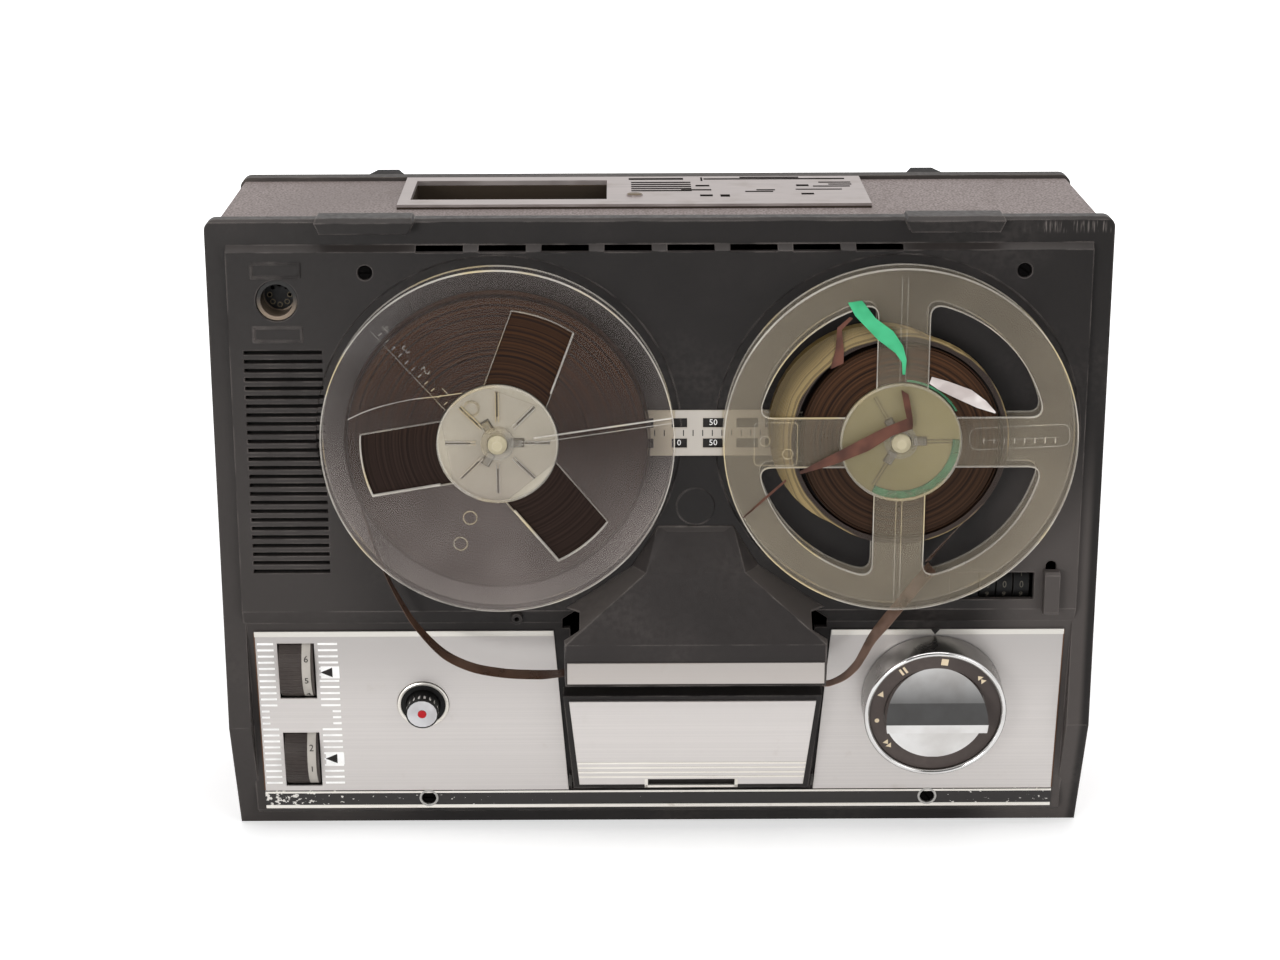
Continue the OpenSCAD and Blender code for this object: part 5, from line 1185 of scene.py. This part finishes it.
TAPE_NEAR, TAPE_FAR, TAPE_THICK, PACK_CORE = -16.1, -9.8, 0.18, 25.2


def pack(r, put):
    """A wound pack whose face has shallow uneven rings."""
    profile, step = [], 0.45
    count = int((r - PACK_CORE) / step)
    for i in range(count + 1):
        lift = 0.05 * math.sin(i * 2.3) * math.sin(i * 0.61)
        profile.append((PACK_CORE + (r - PACK_CORE) * i / count, TAPE_NEAR + 0.12 + lift))
    return lathe(profile + [(r, TAPE_FAR), (PACK_CORE, TAPE_FAR)], put, 120)


def spiral(first, turns, r0, r1, way, steps=90):
    total = int(turns * steps)
    return [polar(r0 + (r1 - r0) * i / total, first + way * 360 * turns * i / total)
            for i in range(total + 1)]


supply_brown = wound("supply_brown", SUPPLY_X, (29, 19, 14), (42, 30, 25), (62, 39, 22), 900)
takeup_brown = wound("takeup_brown", TAKEUP_X, (28, 18, 12), (60, 41, 28), (78, 51, 32), 800)
RUN_ANGLE, TAIL_ANGLE = 207, -38
for body, put, finish, r, first, way, reach in (
        ("supply", supply_put, supply_brown, 62.0, RUN_ANGLE - 720, 1, (62.3, 63.2)),
        ("takeup", takeup_put, takeup_brown, 40.4, TAIL_ANGLE + 720, -1, (40.7, 41.5))):
    last_turns = ribbon(spiral(first, 2, *reach, way), TAPE_NEAR, TAPE_FAR, 0.2, put)
    wound_tape = piece(body + "_pack", [pack(r, put), last_turns], finish, body)
    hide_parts(body + "_tape")


def film(name, dark, light, low, high, rough=0.3, gloss=0.5):
    """Thin plastic tape: glossy, streaked along its length and a little see-through."""
    made, shader, at = new_finish(name, Specular_IOR_Level=gloss)
    streak = at.noise(90, 2)
    at.join(shader["Base Color"], streak.ease(0.3, 0.7).blend(tone(*dark), tone(*light)))
    at.join(shader["Alpha"], streak.ease(0.3, 0.7, low, high))
    at.join(shader["Roughness"], streak.ease(0.3, 0.7, rough - 0.05, rough + 0.1))
    return made


gold, gold_in, gold_at = new_finish("tape_gold", Roughness=0.4)
gold_wave = gold_at.noise(60, 1) * 0.003 + from_spindle(gold_at, TAKEUP_X)[1]
# Painted sheen and shade: the loose turns are palest next to the pack and darken outwards.
gold_sheen = gold_wave.ease(0.0465, 0.056).blend(tone(164, 142, 96), tone(84, 68, 32))
gold_gap = gold_wave.bands(900.0, 3.0)
gold_sheen = (gold_gap.ease(0.5, 0.62) * 0.55).blend(gold_sheen, tone(62, 46, 22))
gold_at.join(gold_in["Base Color"], gold_wave.ease(0.0457, 0.0466).blend(tone(44, 28, 18), gold_sheen))
tape_film = film("tape_film", (66, 45, 34), (86, 62, 48), 0.95, 1.0)
pale_film = film("pale_film", (88, 67, 54), (128, 103, 90), 0.75, 0.92)
LOOSE_TURNS, LOOSE_STEPS, CAD_TURNS = 22, 60, 3
LOOSE_R, LOOSE_PITCH, LOOSE_STAND = 42.25, 0.8, 11
SWELL_ANGLE, SWELL_HALF = 154, 79


def loose_swell(t):
    """How far the turns stand off the pack after t turns, from 0 to 1."""
    off = (TAIL_ANGLE - 360 * t - SWELL_ANGLE + 180) % 360 - 180
    return math.cos(math.radians(90 * off / SWELL_HALF)) if abs(off) < SWELL_HALF else 0


def loose_point(t):
    """A point of the loose turns after t turns: they stand off the pack towards the left."""
    wind = CAD_TURNS * t / LOOSE_TURNS
    stand = LOOSE_STAND * loose_swell(t) * (wind + 0.5) / (CAD_TURNS + 0.5)
    return polar(LOOSE_R + LOOSE_PITCH * wind + stand, TAIL_ANGLE - 360 * t)


loose_path = [loose_point(i / LOOSE_STEPS) for i in range(LOOSE_TURNS * LOOSE_STEPS + 1)]
loose_near = [TAPE_NEAR - 0.25 + 0.5 * i / len(loose_path) for i in range(len(loose_path))]
loose_thick = [0.07 + 0.3 * loose_swell(i / LOOSE_STEPS) for i in range(len(loose_path))]
loose_far = [d + 6.2 for d in loose_near]
loose = piece("loose_gold_turns", [ribbon(loose_path, loose_near, loose_far, loose_thick, takeup_put)],
              gold, "takeup", 60)
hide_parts("loose_turns")
tail_x, tail_z = loose_path[-1]
way_x, way_z = polar(1, TAIL_ANGLE - 90)
tail = [(tail_x + way_x * s, tail_z + way_z * s) for s in (0, 8, 16, 24, 30, 34)]
tail_lean = [-0.4, -1.2, -2.0, -2.7, -3.1, -3.2]
tape_tail = piece("takeup_tail", [ribbon(tail, TAPE_NEAR, TAPE_FAR, TAPE_THICK, takeup_put, tail_lean)],
                  pale_film, "takeup", 60)
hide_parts("loose_turns")

RUN = [
    (-123.92, 157.94), (-116, 132), (-106.5, 112.5), (-99.5, 102.5), (-90.5, 93.5), (-80, 88), (-69, 85.5),
    (-58, 84.5), (-42, 84.5), (-34, 86.5), (-27, 91), (-18.8, 95), (-6.8, 95), (5.2, 95), (17.2, 95),
    (29.2, 95), (41.2, 95), (47.2, 95), (54, 92.5), (59, 88.5), (65, 82.5), (70.5, 79), (77.2, 81.7),
    (82.4, 87), (85.4, 92.6), (88.8, 99.8), (93.8, 107.2), (99.4, 114.6), (106, 123.4), (112.92, 132.17)]
RUN_STEPS, SLOT_END_POINT = 6, 18
run_path = smooth_path(RUN, RUN_STEPS)


def share(value, first, last):
    """How far a value lies from first to last, from 0 to 1."""
    return min(max((value - first) / (last - first), 0), 1)


# The run leans where it hangs free, on both sides of the head cover, and stands straight in its slot.
run_lean = []
for x, z in run_path:
    left = share(x, -115, -90) * share(x, -34, -50) * -1.7
    right = -0.2 - 3 * share(x, 74, 94) if x > 54 else 0
    run_lean.append(left + right)
half_way = SLOT_END_POINT * RUN_STEPS
for name, first, last, finish in (("tape_led_in", 0, half_way + 1, tape_film),
                                  ("tape_led_out", half_way, len(run_path), pale_film)):
    strip = ribbon(run_path[first:last], TAPE_NEAR, TAPE_FAR, TAPE_THICK, spot, run_lean[first:last])
    tape_run = piece(name, [strip], finish, "recorder", 60)
    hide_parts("tape_run")

# Torn leader ends on the take-up reel: flat strips that were left when the tape was cut.
# They lie over the flange and the hub, and turn with the reel.
green = film("leader_green", (30, 150, 96), (58, 182, 126), 0.9, 1.0)
pale = film("leader_pale", (196, 184, 180), (238, 232, 228), 0.85, 1.0)
russet = film("leader_russet", (64, 36, 26), (100, 60, 46), 0.9, 1.0, 0.4, 0.3)


def leader(lefts, rights, thick=0.12):
    """A strip over the take-up reel between two torn edges, each a list of points across, depth and up."""
    rings = [[l, r, (r[0], r[1] - thick, r[2]), (l[0], l[1] - thick, l[2])] for l, r in zip(lefts, rights)]
    return loft(rings, takeup_put, False)


piece("green_leader", [leader(
    [(-23.2, -18.5, 59.3), (-20.2, -18.9, 53.9), (-10.8, -19.6, 44.1), (-3.4, -19.4, 38.4),
     (-0.7, -18.9, 34.4), (-0.3, -18.5, 29.2)],
    [(-17.5, -18.6, 60.2), (-12.1, -19.6, 53.2), (-4.7, -20.6, 47.8), (-0.7, -20.4, 41.8),
     (1.1, -19.6, 35.7), (0.8, -18.6, 29.2)])], green, "takeup", 60)
green_turns = [ribbon(arc(26.0, 86, 30, 20), TAPE_NEAR - 0.3, TAPE_FAR, 0.9, takeup_put),
               ribbon(arc(23.0, 2, -118, 34), -16.6, -15.5, 3.2, takeup_put)]
green_inside = film("leader_green_inside", (46, 118, 80), (64, 146, 102), 0.6, 0.8)
piece("green_core_turns", green_turns, green_inside, "takeup", 60)
piece("pale_leader", [leader(
    [(12.0, -16.4, 27.6), (18.9, -16.5, 25.6), (28.3, -17.2, 22.2), (34.4, -17.0, 17.5),
     (38.8, -16.5, 12.5)],
    [(11.0, -16.4, 24.8), (14.8, -16.6, 22.2), (22.2, -16.6, 18.5), (31.0, -16.5, 14.4),
     (38.4, -16.4, 12.0)])], pale, "takeup", 60)
piece("russet_leader", [
    leader([(-0.7, -19.0, 22.9), (0.4, -19.6, 17.0), (1.3, -20.2, 12.8), (2.6, -20.6, 8.0)],
           [(2.4, -18.9, 20.9), (3.4, -19.4, 16.0), (4.2, -19.9, 11.5), (4.6, -20.2, 7.4)]),
    leader([(2.4, -20.9, 11.5), (-8.1, -20.6, 6.9), (-17.5, -20.0, 1.6), (-29.6, -19.2, -5.2),
            (-41.8, -18.7, -12.1)],
           [(4.4, -20.6, 6.7), (-4.0, -21.2, 4.0), (-13.5, -20.6, -2.6), (-27.0, -19.6, -8.6),
            (-41.1, -18.6, -13.1)]),
    leader([(-47.2, -18.8, -15.2), (-56, -19.0, -23.0), (-64.7, -18.7, -31.6)],
           [(-46.9, -18.8, -16.1), (-55.5, -19.0, -24.0), (-64.4, -18.7, -32.1)]),
    leader([(-22.2, -17.0, 53.0), (-27.2, -17.2, 48.5), (-27.6, -16.8, 39.8), (-29.6, -16.6, 31.0)],
           [(-20.9, -17.0, 52.4), (-25.3, -17.4, 47.8), (-24.3, -17.0, 39.1), (-24.3, -16.7, 33.5)])],
    russet, "takeup", 60)
